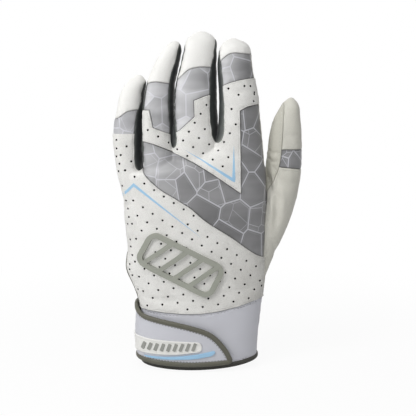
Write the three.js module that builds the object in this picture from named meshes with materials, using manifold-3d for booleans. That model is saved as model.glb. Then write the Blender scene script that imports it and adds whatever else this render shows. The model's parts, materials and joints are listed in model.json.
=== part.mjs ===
// A batting glove for the left hand, standing on its cuff: fingers up (+Z), back of the hand towards -Y, palm
// towards +Y, thumb on the +X side. It is sewn from thin panels over one hand-shaped form: leather palm,
// stretch back, perforated overlays, side strips between the fingers, a knitted cuff and a wrist strap.
import * as THREE from "three";
import { mergeVertices } from "three/addons/utils/BufferGeometryUtils.js";
import Module from "manifold-3d";

const wasm = await Module();
wasm.setup();

// Driving dimensions, in millimetres.
const gloveLength = 226;
const palmWidth = 96;
const palmDepth = 29;
const leather = 1.1;
const seamGap = 0.3;
const hingeGap = 0.4;
const overrun = 40;

// Wrist strap and its fastening, in millimetres.
const patchThickness = 0.7;
const strapThickness = 1.5;
const bindingWidth = 3;
const bindingRaise = 0.6;
const badgeThickness = 0.9;
const strapFoot = 2.2;
const hemHeight = 3.4;
const hemRaise = 0.9;

// The moulded pad on the back, the stripes and the cuff's slit, in millimetres.
const padThickness = 2.4;
const padLength = 56;
const padWidth = 25;
const padCorner = 7;
const padBand = 3.4;
const padRib = 3;
const padRibCorner = 0.75;
const padRibs = 4;
const padTurn = -27;
const padRibTurn = 62;
const stripeThickness = 0.4;
const slitWidth = 5;
const slitBinding = 2.2;
const slitRaise = 1.2;

// How finely the forms are faceted.
const handSides = 36;
const fingerSides = 16;
const rowsPerStation = 1;
const cornerSteps = 4;

// Height of each bend, as a share of the glove's length, and the slope of the knuckle line across the hand.
const knuckleShare = 0.6056;
const knuckleSlopeShare = 0.177;
const fingerBendShares = [0.699, 0.7665, 0.812, 0.7876];
const thumbBendShare = 0.652;

const xOf = (share) => share * palmWidth;
const zOf = (share) => share * gloveLength;
const yOf = (share) => share * palmDepth;

// Each row is one level section: height, left edge, right edge, middle of its depth, half depth, tilt.
// Heights are shares of the glove's length, edges and tilt of the palm's width, depths of the palm's depth.
const handShares = [
  [0, -0.401, 0.432, 0, 0.586, 0],
  [0.09, -0.399, 0.435, 0, 0.569, 0],
  [0.181, -0.394, 0.45, 0.01, 0.543, 0],
  [0.265, -0.438, 0.469, 0.026, 0.526, 0],
  [0.345, -0.467, 0.469, 0.034, 0.534, 0],
  [0.442, -0.489, 0.482, 0.017, 0.517, 0],
  [0.522, -0.516, 0.484, -0.003, 0.49, 0],
  [0.589, -0.547, 0.475, -0.01, 0.45, 0.06],
  [0.62, -0.44, 0.4, 0, 0.36, 0.2],
  [0.636, -0.3, 0.28, 0, 0.24, 0.28],
];
const fingerShares = {
  littleShares: [
    [0.496, -0.5, -0.35, 0.02, 0.3],
    [0.575, -0.545, -0.36, 0.03, 0.33],
    [0.606, -0.551, -0.381, 0.045, 0.328],
    [0.708, -0.56, -0.381, 0.065, 0.305],
    [0.761, -0.538, -0.378, 0.095, 0.286],
    [0.814, -0.516, -0.369, 0.13, 0.259],
    [0.847, -0.479, -0.36, 0.16, 0.2],
    [0.866, -0.43, -0.375, 0.18, 0.09],
  ],
  ringShares: [
    [0.509, -0.36, -0.12, 0.01, 0.33],
    [0.637, -0.365, -0.143, 0.03, 0.345],
    [0.677, -0.371, -0.161, 0.04, 0.338],
    [0.761, -0.365, -0.162, 0.06, 0.318],
    [0.841, -0.33, -0.154, 0.09, 0.293],
    [0.903, -0.27, -0.124, 0.13, 0.265],
    [0.942, -0.214, -0.102, 0.16, 0.205],
    [0.964, -0.17, -0.12, 0.18, 0.09],
  ],
  middleShares: [
    [0.522, -0.16, 0.16, 0.01, 0.34],
    [0.655, -0.157, 0.149, 0.02, 0.362],
    [0.695, -0.151, 0.139, 0.03, 0.352],
    [0.761, -0.149, 0.133, 0.05, 0.334],
    [0.827, -0.144, 0.13, 0.075, 0.317],
    [0.894, -0.106, 0.131, 0.11, 0.297],
    [0.942, -0.083, 0.134, 0.14, 0.272],
    [0.974, -0.055, 0.118, 0.165, 0.2],
    [0.994, -0.005, 0.07, 0.18, 0.09],
  ],
  indexShares: [
    [0.522, 0.11, 0.48, 0.01, 0.36],
    [0.664, 0.128, 0.446, 0.02, 0.348],
    [0.699, 0.163, 0.434, 0.025, 0.341],
    [0.779, 0.173, 0.419, 0.045, 0.324],
    [0.841, 0.166, 0.395, 0.075, 0.307],
    [0.898, 0.15, 0.378, 0.105, 0.29],
    [0.938, 0.145, 0.357, 0.135, 0.262],
    [0.96, 0.168, 0.323, 0.16, 0.19],
    [0.973, 0.205, 0.28, 0.175, 0.09],
  ],
};
const thumbShares = [
  [0.235, 0.18, 0.44, 0.16, 0.24],
  [0.332, 0.26, 0.516, 0.24, 0.33],
  [0.42, 0.333, 0.615, 0.3, 0.39],
  [0.496, 0.415, 0.682, 0.31, 0.405],
  [0.562, 0.475, 0.708, 0.29, 0.395],
  [0.628, 0.495, 0.719, 0.27, 0.38],
  [0.686, 0.51, 0.719, 0.25, 0.36],
  [0.739, 0.536, 0.708, 0.23, 0.31],
  [0.779, 0.577, 0.69, 0.21, 0.22],
  [0.8, 0.62, 0.66, 0.2, 0.09],
];
// How far a section leans sideways with depth: the fingers' backs turn a little towards the little finger.
const fingerRollShare = 0.3;
const thumbRollShare = -0.2;
const handExponent = 2.5;
const fingerExponent = 2.15;

// Middle of the gap at each side of a finger, from the web up: across, then height.
const gapShares = {
  outerShares: [[-0.9, 0.6], [-0.9, 1.1]],
  littleRingShares: [[-0.376, 0.59], [-0.3745, 0.761], [-0.352, 0.84], [-0.33, 0.875], [-0.29, 1.1]],
  ringMiddleShares: [
    [-0.155, 0.64], [-0.156, 0.761], [-0.148, 0.835], [-0.1125, 0.9], [-0.09, 0.942], [-0.07, 1.1],
  ],
  middleIndexShares: [[0.15, 0.68], [0.153, 0.779], [0.149, 0.841], [0.141, 0.9], [0.14, 0.942], [0.15, 1.1]],
  indexThumbShares: [[0.4805, 0.56], [0.475, 0.66], [0.5, 0.78], [0.5, 1.1]],
};
// Edges, seen from the front, of the dark side strips that line each gap.
const stripShares = {
  littleRingShares: [
    [-0.404, 0.594], [-0.43, 0.608], [-0.432, 0.644], [-0.428, 0.713], [-0.416, 0.759], [-0.383, 0.8],
    [-0.352, 0.84], [-0.345, 0.88], [-0.32, 0.88], [-0.34, 0.84], [-0.3665, 0.761], [-0.366, 0.612],
    [-0.38, 0.594],
  ],
  ringMiddleShares: [
    [-0.16, 0.66], [-0.183, 0.672], [-0.182, 0.709], [-0.19, 0.764], [-0.19, 0.818], [-0.178, 0.863],
    [-0.14, 0.917],
    [-0.118, 0.96], [-0.118, 1.05], [-0.08, 1.05], [-0.08, 0.942], [-0.104, 0.9], [-0.14, 0.835],
    [-0.148, 0.761],
    [-0.132, 0.672], [-0.14, 0.66],
  ],
  middleIndexShares: [
    [0.124, 0.662], [0.1, 0.69], [0.088, 0.736], [0.092, 0.81], [0.096, 0.872], [0.106, 0.904],
    [0.124, 0.931],
    [0.13, 0.957], [0.12, 1.05], [0.16, 1.05], [0.156, 0.942], [0.166, 0.9], [0.18, 0.841], [0.192, 0.779],
    [0.19, 0.7], [0.17, 0.662],
  ],
};
// Depth of the seam between back and palm leather, and of the seam between side strip and palm leather.
const backSeamShare = 0.04;
const tipSeamShare = 0.1;
const palmSeamShare = 0.2;
const thumbSeamShare = 0.27;
const sideStripShare = 0.04;

// Outlines of the panels, as seen from the front: across, then height.
const outlineShares = {
  knuckleOverlayShares: [
    [0.305, 0.527], [0.301, 0.69], [0.296, 0.766], [0.355, 0.779], [0.6, 0.787], [0.6, 0.83], [0.06, 0.83],
    [-0.017, 0.795], [-0.013, 0.749], [-0.12, 0.708], [-0.169, 0.695], [-0.299, 0.717], [-0.322, 0.79],
    [-0.45, 0.79], [-0.43, 0.676], [-0.358, 0.677], [-0.142, 0.642], [0.076, 0.593],
  ],
  littleBackShares: [[-0.9, 0.5], [-0.42, 0.5], [-0.377, 0.597], [-0.4, 0.625], [-0.4, 0.8], [-0.9, 0.8]],
  knuckleStretchShares: [[-0.45, 0.5], [0.2, 0.5], [0.2, 0.68], [-0.45, 0.69]],
  indexSideShares: [[0.25, 0.5], [0.7, 0.5], [0.7, 0.83], [0.25, 0.83]],
  ringStretchShares: [[-0.4, 0.68], [-0.15, 0.68], [-0.15, 0.83], [-0.4, 0.83]],
  middleStretchShares: [[-0.2, 0.68], [0, 0.68], [0, 0.83], [-0.2, 0.83]],
  littleBandShares: [[-0.9, 0.6], [-0.2, 0.6], [-0.2, 0.768], [-0.465, 0.765], [-0.547, 0.745], [-0.9, 0.72]],
  ringBandShares: [
    [-0.5, 0.7], [0, 0.7], [0, 0.84], [-0.1, 0.843], [-0.19, 0.845], [-0.3, 0.849], [-0.4, 0.832],
    [-0.5, 0.8],
  ],
  middleBandShares: [
    [-0.3, 0.7], [0.3, 0.7], [0.3, 0.885], [0.2, 0.889], [0.02, 0.892], [-0.054, 0.884], [-0.119, 0.861],
    [-0.3, 0.8],
  ],
  indexPanelShares: [[0.05, 0.7], [0.6, 0.7], [0.6, 0.87], [0.235, 0.847], [0.16, 0.832], [0.05, 0.8]],
  indexBandShares: [
    [0.05, 0.7], [0.6, 0.7], [0.6, 0.93], [0.352, 0.93], [0.234, 0.931], [0.176, 0.915], [0.05, 0.85],
  ],
  backOverlayShares: [
    [-0.9, 0.05], [0.9, 0.05], [0.9, 0.3], [0.46, 0.333], [0.246, 0.395], [0.043, 0.452], [-0.033, 0.481],
    [-0.143, 0.511], [-0.274, 0.546], [-0.377, 0.597], [-0.4, 0.7], [-0.9, 0.7],
  ],
  backCuffShares: [
    [-0.9, -0.1], [0.9, -0.1], [0.9, 0.25], [0.443, 0.207], [0.248, 0.185], [0.044, 0.171], [-0.2, 0.171],
    [-0.9, 0.19],
  ],
  palmCuffShares: [[-0.9, -0.1], [0.9, -0.1], [0.9, 0.23], [0.3, 0.21], [-0.3, 0.19], [-0.9, 0.19]],
  thumbSideShares: [
    [0.465, 0.2], [0.478, 0.42], [0.492, 0.508], [0.481, 0.6], [0.481, 0.75], [0.9, 0.75], [0.9, 0.2],
  ],
  thumbGussetShares: [
    [0.4, 0.5], [0.495, 0.53], [0.571, 0.598], [0.592, 0.667], [0.604, 0.772], [0.62, 0.9], [0.4, 0.9],
  ],
  thumbBandShares: [[0.4, 0.6], [0.571, 0.6], [0.9, 0.582], [0.9, 0.8], [0.4, 0.8]],
  loopPatchShares: [[-0.14, 0.035], [0.17, 0.035], [0.2, 0.05], [0.12, 0.115], [-0.14, 0.135]],
  hookPatchShares: [[-0.1, 0.04], [0.14, 0.04], [0.15, 0.055], [0.09, 0.1], [-0.1, 0.12]],
  strapShares: [
    [-0.9, 0.21], [-0.43, 0.185], [-0.37, 0.157], [-0.1625, 0.1416], [0.044, 0.1195], [0.1, 0.108],
    [0.14, 0.09],
    [0.199, 0.0513], [0.228, 0], [-0.9, 0],
  ],
  badgeShares: [
    [-0.9, 0.098], [0.02, 0.098], [0.05, 0.09], [0.105, 0.062], [0.1, 0.056], [-0.4, 0.043], [-0.9, 0.04],
  ],
  badgeBarShares: [[-0.31, 0.034], [0.112, 0.043], [0.125, 0.052], [0.1, 0.0525]],
  knuckleStripeShares: [[-0.077, 0.653], [0.265, 0.559], [0.256, 0.667], [0.235, 0.578]],
  backStripeShares: [[-0.495, 0.532], [-0.43, 0.56], [0.032, 0.399], [-0.429, 0.545], [-0.495, 0.518]],
};
const padCentreShares = [-0.11, 0.317];
const slitDepthShare = 0.14;
const slitTopShare = 0.335;
const slitReachShare = -0.2;
const strapRootDepthShare = 0.32;
const strapRootAcrossShare = -0.3;
const strapRootTopShare = 0.17;

// A closed mesh as a solid that booleans can work on.
function solidOf(geometry) {
  const bare = new THREE.BufferGeometry();
  bare.setAttribute("position", geometry.getAttribute("position"));
  bare.setIndex(geometry.getIndex());
  const merged = mergeVertices(bare, 1e-4);
  return new wasm.Manifold(
    new wasm.Mesh({
      numProp: 3,
      vertProperties: new Float32Array(merged.attributes.position.array),
      triVerts: new Uint32Array(merged.index.array),
    }),
  );
}

// The largest body of a cut: crumbs where two seams meet are trimmed away.
function largest(solid) {
  return solid.decompose().reduce((best, body) => (body.volume() > best.volume() ? body : best));
}

function meshOf(name, solid, material) {
  const found = largest(solid).getMesh();
  const geometry = new THREE.BufferGeometry();
  geometry.setAttribute("position", new THREE.BufferAttribute(new Float32Array(found.vertProperties), 3));
  geometry.setIndex(new THREE.BufferAttribute(new Uint32Array(found.triVerts), 1));
  geometry.computeVertexNormals();
  const mesh = new THREE.Mesh(geometry, material);
  mesh.name = name;
  return mesh;
}

// A section table read anywhere along its rows, on a smooth curve through them.
function sectionCurve(rows) {
  const spans = rows.length - 1;
  return (along) => {
    const span = Math.min(Math.floor(along * spans), spans - 1);
    const u = along * spans - span;
    return rows[0].map((_, k) => {
      const [a, b] = [rows[span][k], rows[span + 1][k]];
      const slopeA = (b - rows[Math.max(span - 1, 0)][k]) / 2;
      const slopeB = (rows[Math.min(span + 2, spans)][k] - a) / 2;
      return a + u * (slopeA + u * (3 * (b - a) - 2 * slopeA - slopeB + u * (slopeA + slopeB - 2 * (b - a))));
    });
  };
}

// One tube of the hand: a unit cylinder whose rings take the sections of a table, grown outwards all round.
function tube(rows, sides, grow, exponent, roll = 0, below = 0) {
  const geometry = new THREE.CylinderGeometry(1, 1, 1, sides, (rows.length - 1) * rowsPerStation);
  const position = geometry.getAttribute("position");
  const section = sectionCurve(rows);
  const squared = (v) => Math.sign(v) * Math.abs(v) ** (2 / exponent);
  for (let i = 0; i < position.count; i++) {
    const along = position.getY(i) + 0.5;
    const reach = Math.hypot(position.getX(i), position.getZ(i));
    const turn = Math.atan2(-position.getZ(i), position.getX(i));
    const [height, left, right, middle, depth, tilt = 0] = section(along);
    const halfDepth = yOf(depth) + grow;
    const halfWidth = xOf(right - left) / 2 + grow;
    const across = reach * squared(Math.cos(turn));
    const deep = reach * squared(Math.sin(turn));
    const x = xOf((left + right) / 2) + halfWidth * across + roll * halfDepth * deep;
    const rise = along > 1 - 1e-6 ? grow : along < 1e-6 ? -below : 0;
    position.setXYZ(i, x, yOf(middle) + halfDepth * deep, zOf(height) + rise + tilt * x);
  }
  return solidOf(geometry);
}

// The whole hand, grown by a distance; its wrist end may run on below the cuff.
function handForm(grow, below = 0) {
  const form = tube(handShares, handSides, grow, handExponent, 0, below);
  const thumb = tube(thumbShares, fingerSides, grow, fingerExponent, thumbRollShare);
  const fingers = Object.values(fingerShares).map((rows) =>
    tube(rows, fingerSides, grow, fingerExponent, fingerRollShare));
  return fingers.reduce((all, finger) => all.add(finger), form.add(thumb));
}

// The wrist end alone, for the layers of the strap.
const wristForm = (grow) => tube(handShares, handSides, grow, handExponent, 0, overrun);

const scaled = (outline) => outline.map(([x, z]) => [xOf(x), zOf(z)]);

// Every panel's outline at its real size, by the panel's name.
function panelOutlines() {
  return Object.fromEntries(
    Object.entries(outlineShares).map(([name, shares]) => [name.replace("Shares", ""), scaled(shares)]),
  );
}

// An outline moved outwards by a distance, corners kept sharp.
function grown(points, distance) {
  const clockwise = THREE.ShapeUtils.isClockWise(points.map(([x, y]) => new THREE.Vector2(x, y)));
  const turns = clockwise ? -1 : 1;
  const count = points.length;
  return points.map(([x, y], i) => {
    const [px, py] = points[(i + count - 1) % count];
    const [nx, ny] = points[(i + 1) % count];
    const before = new THREE.Vector2(y - py, px - x).normalize();
    const after = new THREE.Vector2(ny - y, x - nx).normalize();
    const mitre = before.clone().add(after);
    mitre.multiplyScalar((turns * distance * 2) / Math.max(mitre.lengthSq(), 1));
    return [x + mitre.x, y + mitre.y];
  });
}

// A prism of an outline seen from the front, running through the depths given.
function prism(points, near = -overrun, far = overrun, holes = []) {
  const shape = new THREE.Shape(points.map(([x, z]) => new THREE.Vector2(x, z)));
  shape.holes = holes.map((hole) => new THREE.Path(hole.map(([x, z]) => new THREE.Vector2(x, z))));
  const geometry = new THREE.ExtrudeGeometry(shape, { depth: far - near, bevelEnabled: false });
  geometry.rotateX(Math.PI / 2);
  geometry.translate(0, far, 0);
  return solidOf(geometry);
}

// The same prism seen from the little finger's side, for what lies in the outer edge of the hand.
function sidePrism(points) {
  const solid = prism(points, xOf(-1), xOf(slitReachShare));
  return solid.rotate([0, 0, 90]).mirror([1, 0, 0]);
}

// Cuts a panel out of a shell, and leaves a seam's gap round it. Returns the panel and what is left.
function cutPanel(shell, points, near = -overrun, far = overrun, gap = seamGap) {
  const panel = shell.intersect(prism(points, near, far));
  return [panel, shell.subtract(prism(grown(points, gap), near - gap, far + gap))];
}

// Splits a shell into named panels in turn: each takes its outline, and the last takes the rest.
function cutInTurn(shell, cuts, rest, panels) {
  let left = shell;
  for (const [name, outline, near, far] of cuts) {
    const [panel, remains] = cutPanel(left, outline, near, far);
    panels[name] = panel;
    left = remains;
  }
  panels[rest] = left;
}

// The region above a bend between the gaps at both sides of a finger.
function regionAbove(bendHeight, leftGap, rightGap) {
  const above = (line) => {
    const points = scaled(line);
    const i = points.findIndex(([, z]) => z > bendHeight);
    const [x0, z0] = points[i - 1];
    const [x1, z1] = points[i];
    return [[x0 + ((x1 - x0) * (bendHeight - z0)) / (z1 - z0), bendHeight], ...points.slice(i)];
  };
  return [...above(leftGap), ...above(rightGap).reverse()];
}

// A rectangle with round corners, centred on the origin and turned.
function roundRectangle(length, width, corner, degrees) {
  const points = [];
  const quarter = Math.PI / 2;
  for (let side = 0; side < 4; side++) {
    const across = (side === 0 || side === 3 ? 1 : -1) * (length / 2 - corner);
    const up = (side < 2 ? 1 : -1) * (width / 2 - corner);
    for (let step = 0; step <= cornerSteps; step++) {
      const angle = quarter * (side + step / cornerSteps);
      points.push([across + corner * Math.cos(angle), up + corner * Math.sin(angle)]);
    }
  }
  const turn = THREE.MathUtils.degToRad(degrees);
  const along = Math.cos(turn);
  const across = Math.sin(turn);
  return points.map(([x, y]) => [x * along - y * across, x * across + y * along]);
}

const moved = (points, across, up) => points.map(([x, z]) => [x + across, z + up]);

// The glove's wall, cut first at the bends and then along the seams.
function sewnPanels() {
  const panels = {};
  const inside = handForm(-leather, overrun);
  const backSeam = yOf(backSeamShare);
  const tipSeam = yOf(tipSeamShare);
  const palmSeam = yOf(palmSeamShare);
  const thumbSeam = yOf(thumbSeamShare);
  const outline = panelOutlines();
  let wall = handForm(0).subtract(inside);

  // The hem's binding wraps the lower edge.
  const wide = xOf(1);
  const lowBand = (height) => [[-wide, -overrun], [wide, -overrun], [wide, height], [-wide, height]];
  const hem = handForm(hemRaise, overrun).subtract(inside);
  const slitOutline = (grow) => {
    const half = slitWidth / 2 + grow;
    const top = zOf(slitTopShare) - slitWidth / 2;
    const centre = yOf(slitDepthShare);
    const arc = Array.from({ length: 2 * cornerSteps + 1 }, (_, i) => (Math.PI * i) / (2 * cornerSteps));
    return [[centre - half, -overrun], [centre + half, -overrun],
      ...arc.map((angle) => [centre + half * Math.cos(angle), top + half * Math.sin(angle)])];
  };
  const slit = sidePrism(slitOutline(0));
  const hemBand = prism([[-wide, 0], [wide, 0], [wide, hemHeight], [-wide, hemHeight]]);
  panels.hem_binding = hem.intersect(hemBand).subtract(slit);
  wall = wall.subtract(prism(lowBand(hemHeight + seamGap)));
  panels.slit_binding = handForm(slitRaise, overrun).subtract(inside)
    .intersect(sidePrism(slitOutline(slitBinding)))
    .subtract(slit)
    .subtract(prism(lowBand(hemHeight + seamGap)));
  wall = wall.subtract(sidePrism(slitOutline(slitBinding + seamGap)));

  // The fingertips and the thumb's tip, cut off at their bends.
  const gaps = Object.values(gapShares);
  const tips = {};
  ["little", "ring", "middle", "index"].forEach((finger, i) => {
    const region = regionAbove(zOf(fingerBendShares[i]), gaps[i], gaps[i + 1]);
    [tips[finger], wall] = cutPanel(wall, region, -overrun, overrun, hingeGap);
  });
  const thumbEdge = gapShares.outerShares.map(([x, z]) => [-x, z]);
  const thumbRegion = regionAbove(zOf(thumbBendShare), gapShares.indexThumbShares, thumbEdge);
  [tips.thumb, wall] = cutPanel(wall, thumbRegion, -overrun, overrun, hingeGap);

  // The side strips: dark inside each gap, from the back seam of one finger round to that of the next.
  const sideOf = (line) => {
    const side = xOf(sideStripShare);
    const points = scaled(line);
    return [...moved(points, -side, 0), ...moved(points, side, 0).reverse()];
  };
  const stripOf = (gap, grow) => prism(grown(scaled(stripShares[gap]), grow), -overrun, palmSeam + grow)
    .add(prism(grown(sideOf(gapShares[gap]), grow), backSeam - grow, palmSeam + grow));
  const cutStrip = (shell, gap) => [shell.intersect(stripOf(gap, 0)), shell.subtract(stripOf(gap, seamGap))];
  [panels.web_little_ring, wall] = cutStrip(wall, "littleRingShares");
  [panels.web_ring_middle, wall] = cutStrip(wall, "ringMiddleShares");
  [panels.web_middle_index, wall] = cutStrip(wall, "middleIndexShares");
  [panels.little_side, tips.little] = cutStrip(tips.little, "littleRingShares");
  [panels.ring_side_outer, tips.ring] = cutStrip(tips.ring, "littleRingShares");
  [panels.ring_side_inner, tips.ring] = cutStrip(tips.ring, "ringMiddleShares");
  [panels.middle_side_outer, tips.middle] = cutStrip(tips.middle, "ringMiddleShares");
  [panels.middle_side_inner, tips.middle] = cutStrip(tips.middle, "middleIndexShares");
  [panels.index_side, tips.index] = cutStrip(tips.index, "middleIndexShares");

  // The fingertips' backs, then their palm leather.
  const all = lowBand(gloveLength + overrun);
  cutInTurn(tips.little, [
    ["little_band", outline.littleBand, -overrun, tipSeam],
    ["little_cap", all, -overrun, tipSeam],
  ], "little_front", panels);
  cutInTurn(tips.ring, [
    ["ring_band", outline.ringBand, -overrun, tipSeam],
    ["ring_cap", all, -overrun, tipSeam],
  ], "ring_front", panels);
  cutInTurn(tips.middle, [
    ["middle_band", outline.middleBand, -overrun, tipSeam],
    ["middle_cap", all, -overrun, tipSeam],
  ], "middle_front", panels);
  cutInTurn(tips.index, [
    ["index_panel", outline.indexPanel, -overrun, tipSeam],
    ["index_band", outline.indexBand, -overrun, tipSeam],
    ["index_cap", all, -overrun, tipSeam],
  ], "index_front", panels);
  cutInTurn(tips.thumb, [
    ["thumb_gusset_tip", outline.thumbGusset, -overrun, thumbSeam],
    ["thumb_cap", all, -overrun, thumbSeam],
  ], "thumb_tip_front", panels);

  // The knuckle overlay stays whole across the knuckle line, and moves with the fingers.
  [panels.knuckle_overlay, wall] = cutPanel(wall, outline.knuckleOverlay, -overrun, backSeam);
  const lineHeight = (x) => zOf(knuckleShare) + knuckleSlopeShare * x;
  const [thumbWeb, high] = [xOf(gapShares.indexThumbShares[0][0]), zOf(gapShares.outerShares[1][1])];
  const fingersRegion = [
    [-wide, lineHeight(-wide)], [thumbWeb, lineHeight(thumbWeb)], [thumbWeb, high], [-wide, high],
  ];
  const [fingers, hand] = cutPanel(wall, fingersRegion, -overrun, overrun, hingeGap);
  cutInTurn(fingers, [
    ["little_back", outline.littleBack, -overrun, backSeam],
    ["knuckle_stretch", outline.knuckleStretch, -overrun, backSeam],
    ["index_side_panel", outline.indexSide, -overrun, backSeam],
    ["ring_stretch", outline.ringStretch, -overrun, backSeam],
    ["middle_stretch", outline.middleStretch, -overrun, backSeam],
    ["spare", all, -overrun, backSeam],
  ], "palm_fingers", panels);
  delete panels.spare;

  // The hand: cuff, thumb, back and palm.
  const [thumb, rest] = cutPanel(hand, outline.thumbSide);
  cutInTurn(thumb, [
    ["thumb_gusset", outline.thumbGusset, -overrun, thumbSeam],
    ["thumb_band", outline.thumbBand, -overrun, thumbSeam],
    ["thumb_back", all, -overrun, thumbSeam],
  ], "thumb_front", panels);
  cutInTurn(rest, [
    ["cuff_back", outline.backCuff, -overrun, backSeam],
    ["cuff_palm", outline.palmCuff, backSeam + seamGap, overrun],
    ["back_overlay", outline.backOverlay, -overrun, backSeam],
    ["stretch_back", all, -overrun, backSeam],
  ], "palm_leather", panels);
  return panels;
}

// What lies on the wall: a layer between two distances from it, on the back of the hand.
function layer(form, outline, from, to, far = 0, holes = []) {
  return form(to).subtract(form(from)).intersect(prism(outline, -overrun, far, holes));
}

function paddedPieces() {
  const pieces = {};
  const outline = panelOutlines();
  const onBack = (points, thickness, holes) => {
    return layer(handForm, points, seamGap, seamGap + thickness, 0, holes);
  };
  pieces.knuckle_stripe = onBack(outline.knuckleStripe, stripeThickness);
  pieces.back_stripe = onBack(outline.backStripe, stripeThickness);

  // The moulded pad: a round-cornered frame across the back, with slanting ribs inside it.
  const place = [xOf(padCentreShares[0]), zOf(padCentreShares[1])];
  const frame = moved(roundRectangle(padLength, padWidth, padCorner, padTurn), ...place);
  const window = moved(
    roundRectangle(padLength - 2 * padBand, padWidth - 2 * padBand, padCorner - padBand, padTurn), ...place);
  const turn = THREE.MathUtils.degToRad(padTurn);
  const pitch = padLength / (padRibs + 1);
  let ribs = onBack(frame, padThickness, [window]);
  for (let i = 0; i < padRibs; i++) {
    const along = pitch * (i + 1) - padLength / 2;
    const bar = roundRectangle(padLength, padRib, padRibCorner, padTurn + padRibTurn);
    const at = [place[0] + along * Math.cos(turn), place[1] + along * Math.sin(turn)];
    ribs = ribs.add(onBack(moved(bar, ...at), padThickness).intersect(prism(frame)));
  }
  pieces.moulded_pad = ribs;

  // The strap's layers, from the cuff outwards.
  const patchFrom = seamGap;
  const hookFrom = patchFrom + patchThickness + seamGap;
  const strapFrom = hookFrom + patchThickness + seamGap;
  const strapTo = strapFrom + strapThickness;
  const badgeFrom = strapTo + seamGap;
  const root = yOf(strapRootDepthShare);
  const clip = (points) => points.map(([x, z]) => [x, Math.max(z, strapFoot)]);
  const strapEdge = clip(outline.strap);
  const webEdge = grown(strapEdge, -bindingWidth - seamGap);
  const bindingEdge = grown(strapEdge, -bindingWidth);
  pieces.loop_patch = layer(wristForm, outline.loopPatch, patchFrom, patchFrom + patchThickness);
  pieces.hook_patch = layer(wristForm, outline.hookPatch, hookFrom, hookFrom + patchThickness);
  pieces.strap_web = layer(wristForm, webEdge, strapFrom, strapTo, root);
  pieces.strap_binding = layer(wristForm, strapEdge, strapFrom, strapTo + bindingRaise, root)
    .subtract(prism(bindingEdge));
  pieces.strap_badge = layer(wristForm, outline.badge, badgeFrom, badgeFrom + badgeThickness);
  pieces.badge_bar = layer(wristForm, outline.badgeBar, badgeFrom, badgeFrom + badgeThickness);
  const [rootSide, rootTop] = [xOf(strapRootAcrossShare), zOf(strapRootTopShare)];
  const rootEdge = [
    [-palmWidth, strapFoot], [rootSide, strapFoot], [rootSide, rootTop], [-palmWidth, rootTop],
  ];
  pieces.strap_root = wristForm(strapTo).subtract(wristForm(seamGap + hemRaise))
    .intersect(prism(rootEdge, root + hingeGap, overrun));
  return pieces;
}

const finish = (color, roughness) => new THREE.MeshStandardMaterial({ color, roughness, metalness: 0 });
const whiteLeather = finish("#ecebe6", 0.5);
const perforated = finish("#e6e4de", 0.6);
const palmLeather = finish("#e2dfd3", 0.6);
const stretch = finish("#96969c", 0.4);
const cuffKnit = finish("#c9c9d6", 0.9);
const fourchette = finish("#3c4442", 0.7);
const binding = finish("#77766a", 0.7);
const moulded = finish("#8f9288", 0.45);
const stripeBlue = finish("#8fbfe2", 0.4);
const badgeWhite = finish("#f0f0ee", 0.4);
const patchGrey = finish("#b9bac2", 0.95);

const finishes = {
  whiteLeather: [whiteLeather, [
    "little_cap", "ring_cap", "middle_cap", "index_cap", "thumb_cap", "thumb_back",
  ]],
  perforated: [perforated, ["back_overlay", "knuckle_overlay", "little_back", "index_panel"]],
  palmLeather: [palmLeather, [
    "palm_leather", "palm_fingers", "little_front", "ring_front", "middle_front", "index_front",
    "thumb_front", "thumb_tip_front", "thumb_gusset", "thumb_gusset_tip",
  ]],
  stretch: [stretch, [
    "stretch_back", "knuckle_stretch", "index_side_panel", "ring_stretch", "middle_stretch", "little_band",
    "ring_band", "middle_band", "index_band", "thumb_band",
  ]],
  cuffKnit: [cuffKnit, ["cuff_back", "cuff_palm", "strap_web", "strap_root"]],
  fourchette: [fourchette, [
    "web_little_ring", "web_ring_middle", "web_middle_index", "little_side", "ring_side_outer",
    "ring_side_inner", "middle_side_outer", "middle_side_inner", "index_side",
  ]],
  binding: [binding, ["hem_binding", "slit_binding", "strap_binding"]],
  moulded: [moulded, ["moulded_pad"]],
  stripeBlue: [stripeBlue, ["knuckle_stripe", "back_stripe", "badge_bar"]],
  badgeWhite: [badgeWhite, ["strap_badge"]],
  patchGrey: [patchGrey, ["loop_patch", "hook_patch"]],
};

const solids = { ...sewnPanels(), ...paddedPieces() };
const glove = new THREE.Group();
for (const [material, names] of Object.values(finishes)) {
  for (const name of names) {
    glove.add(meshOf(name, solids[name], material));
  }
}

// The frame: standing on the hem, centred over it.
const box = new THREE.Box3().setFromObject(glove);
const centre = box.getCenter(new THREE.Vector3());
glove.position.set(-centre.x, -centre.y, -box.min.z);

export default glove;
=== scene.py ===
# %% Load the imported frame
import json
import math

import bmesh
import bpy
import numpy as np
from mathutils import Matrix, Vector, kdtree, noise
from mathutils.bvhtree import BVHTree


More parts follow.
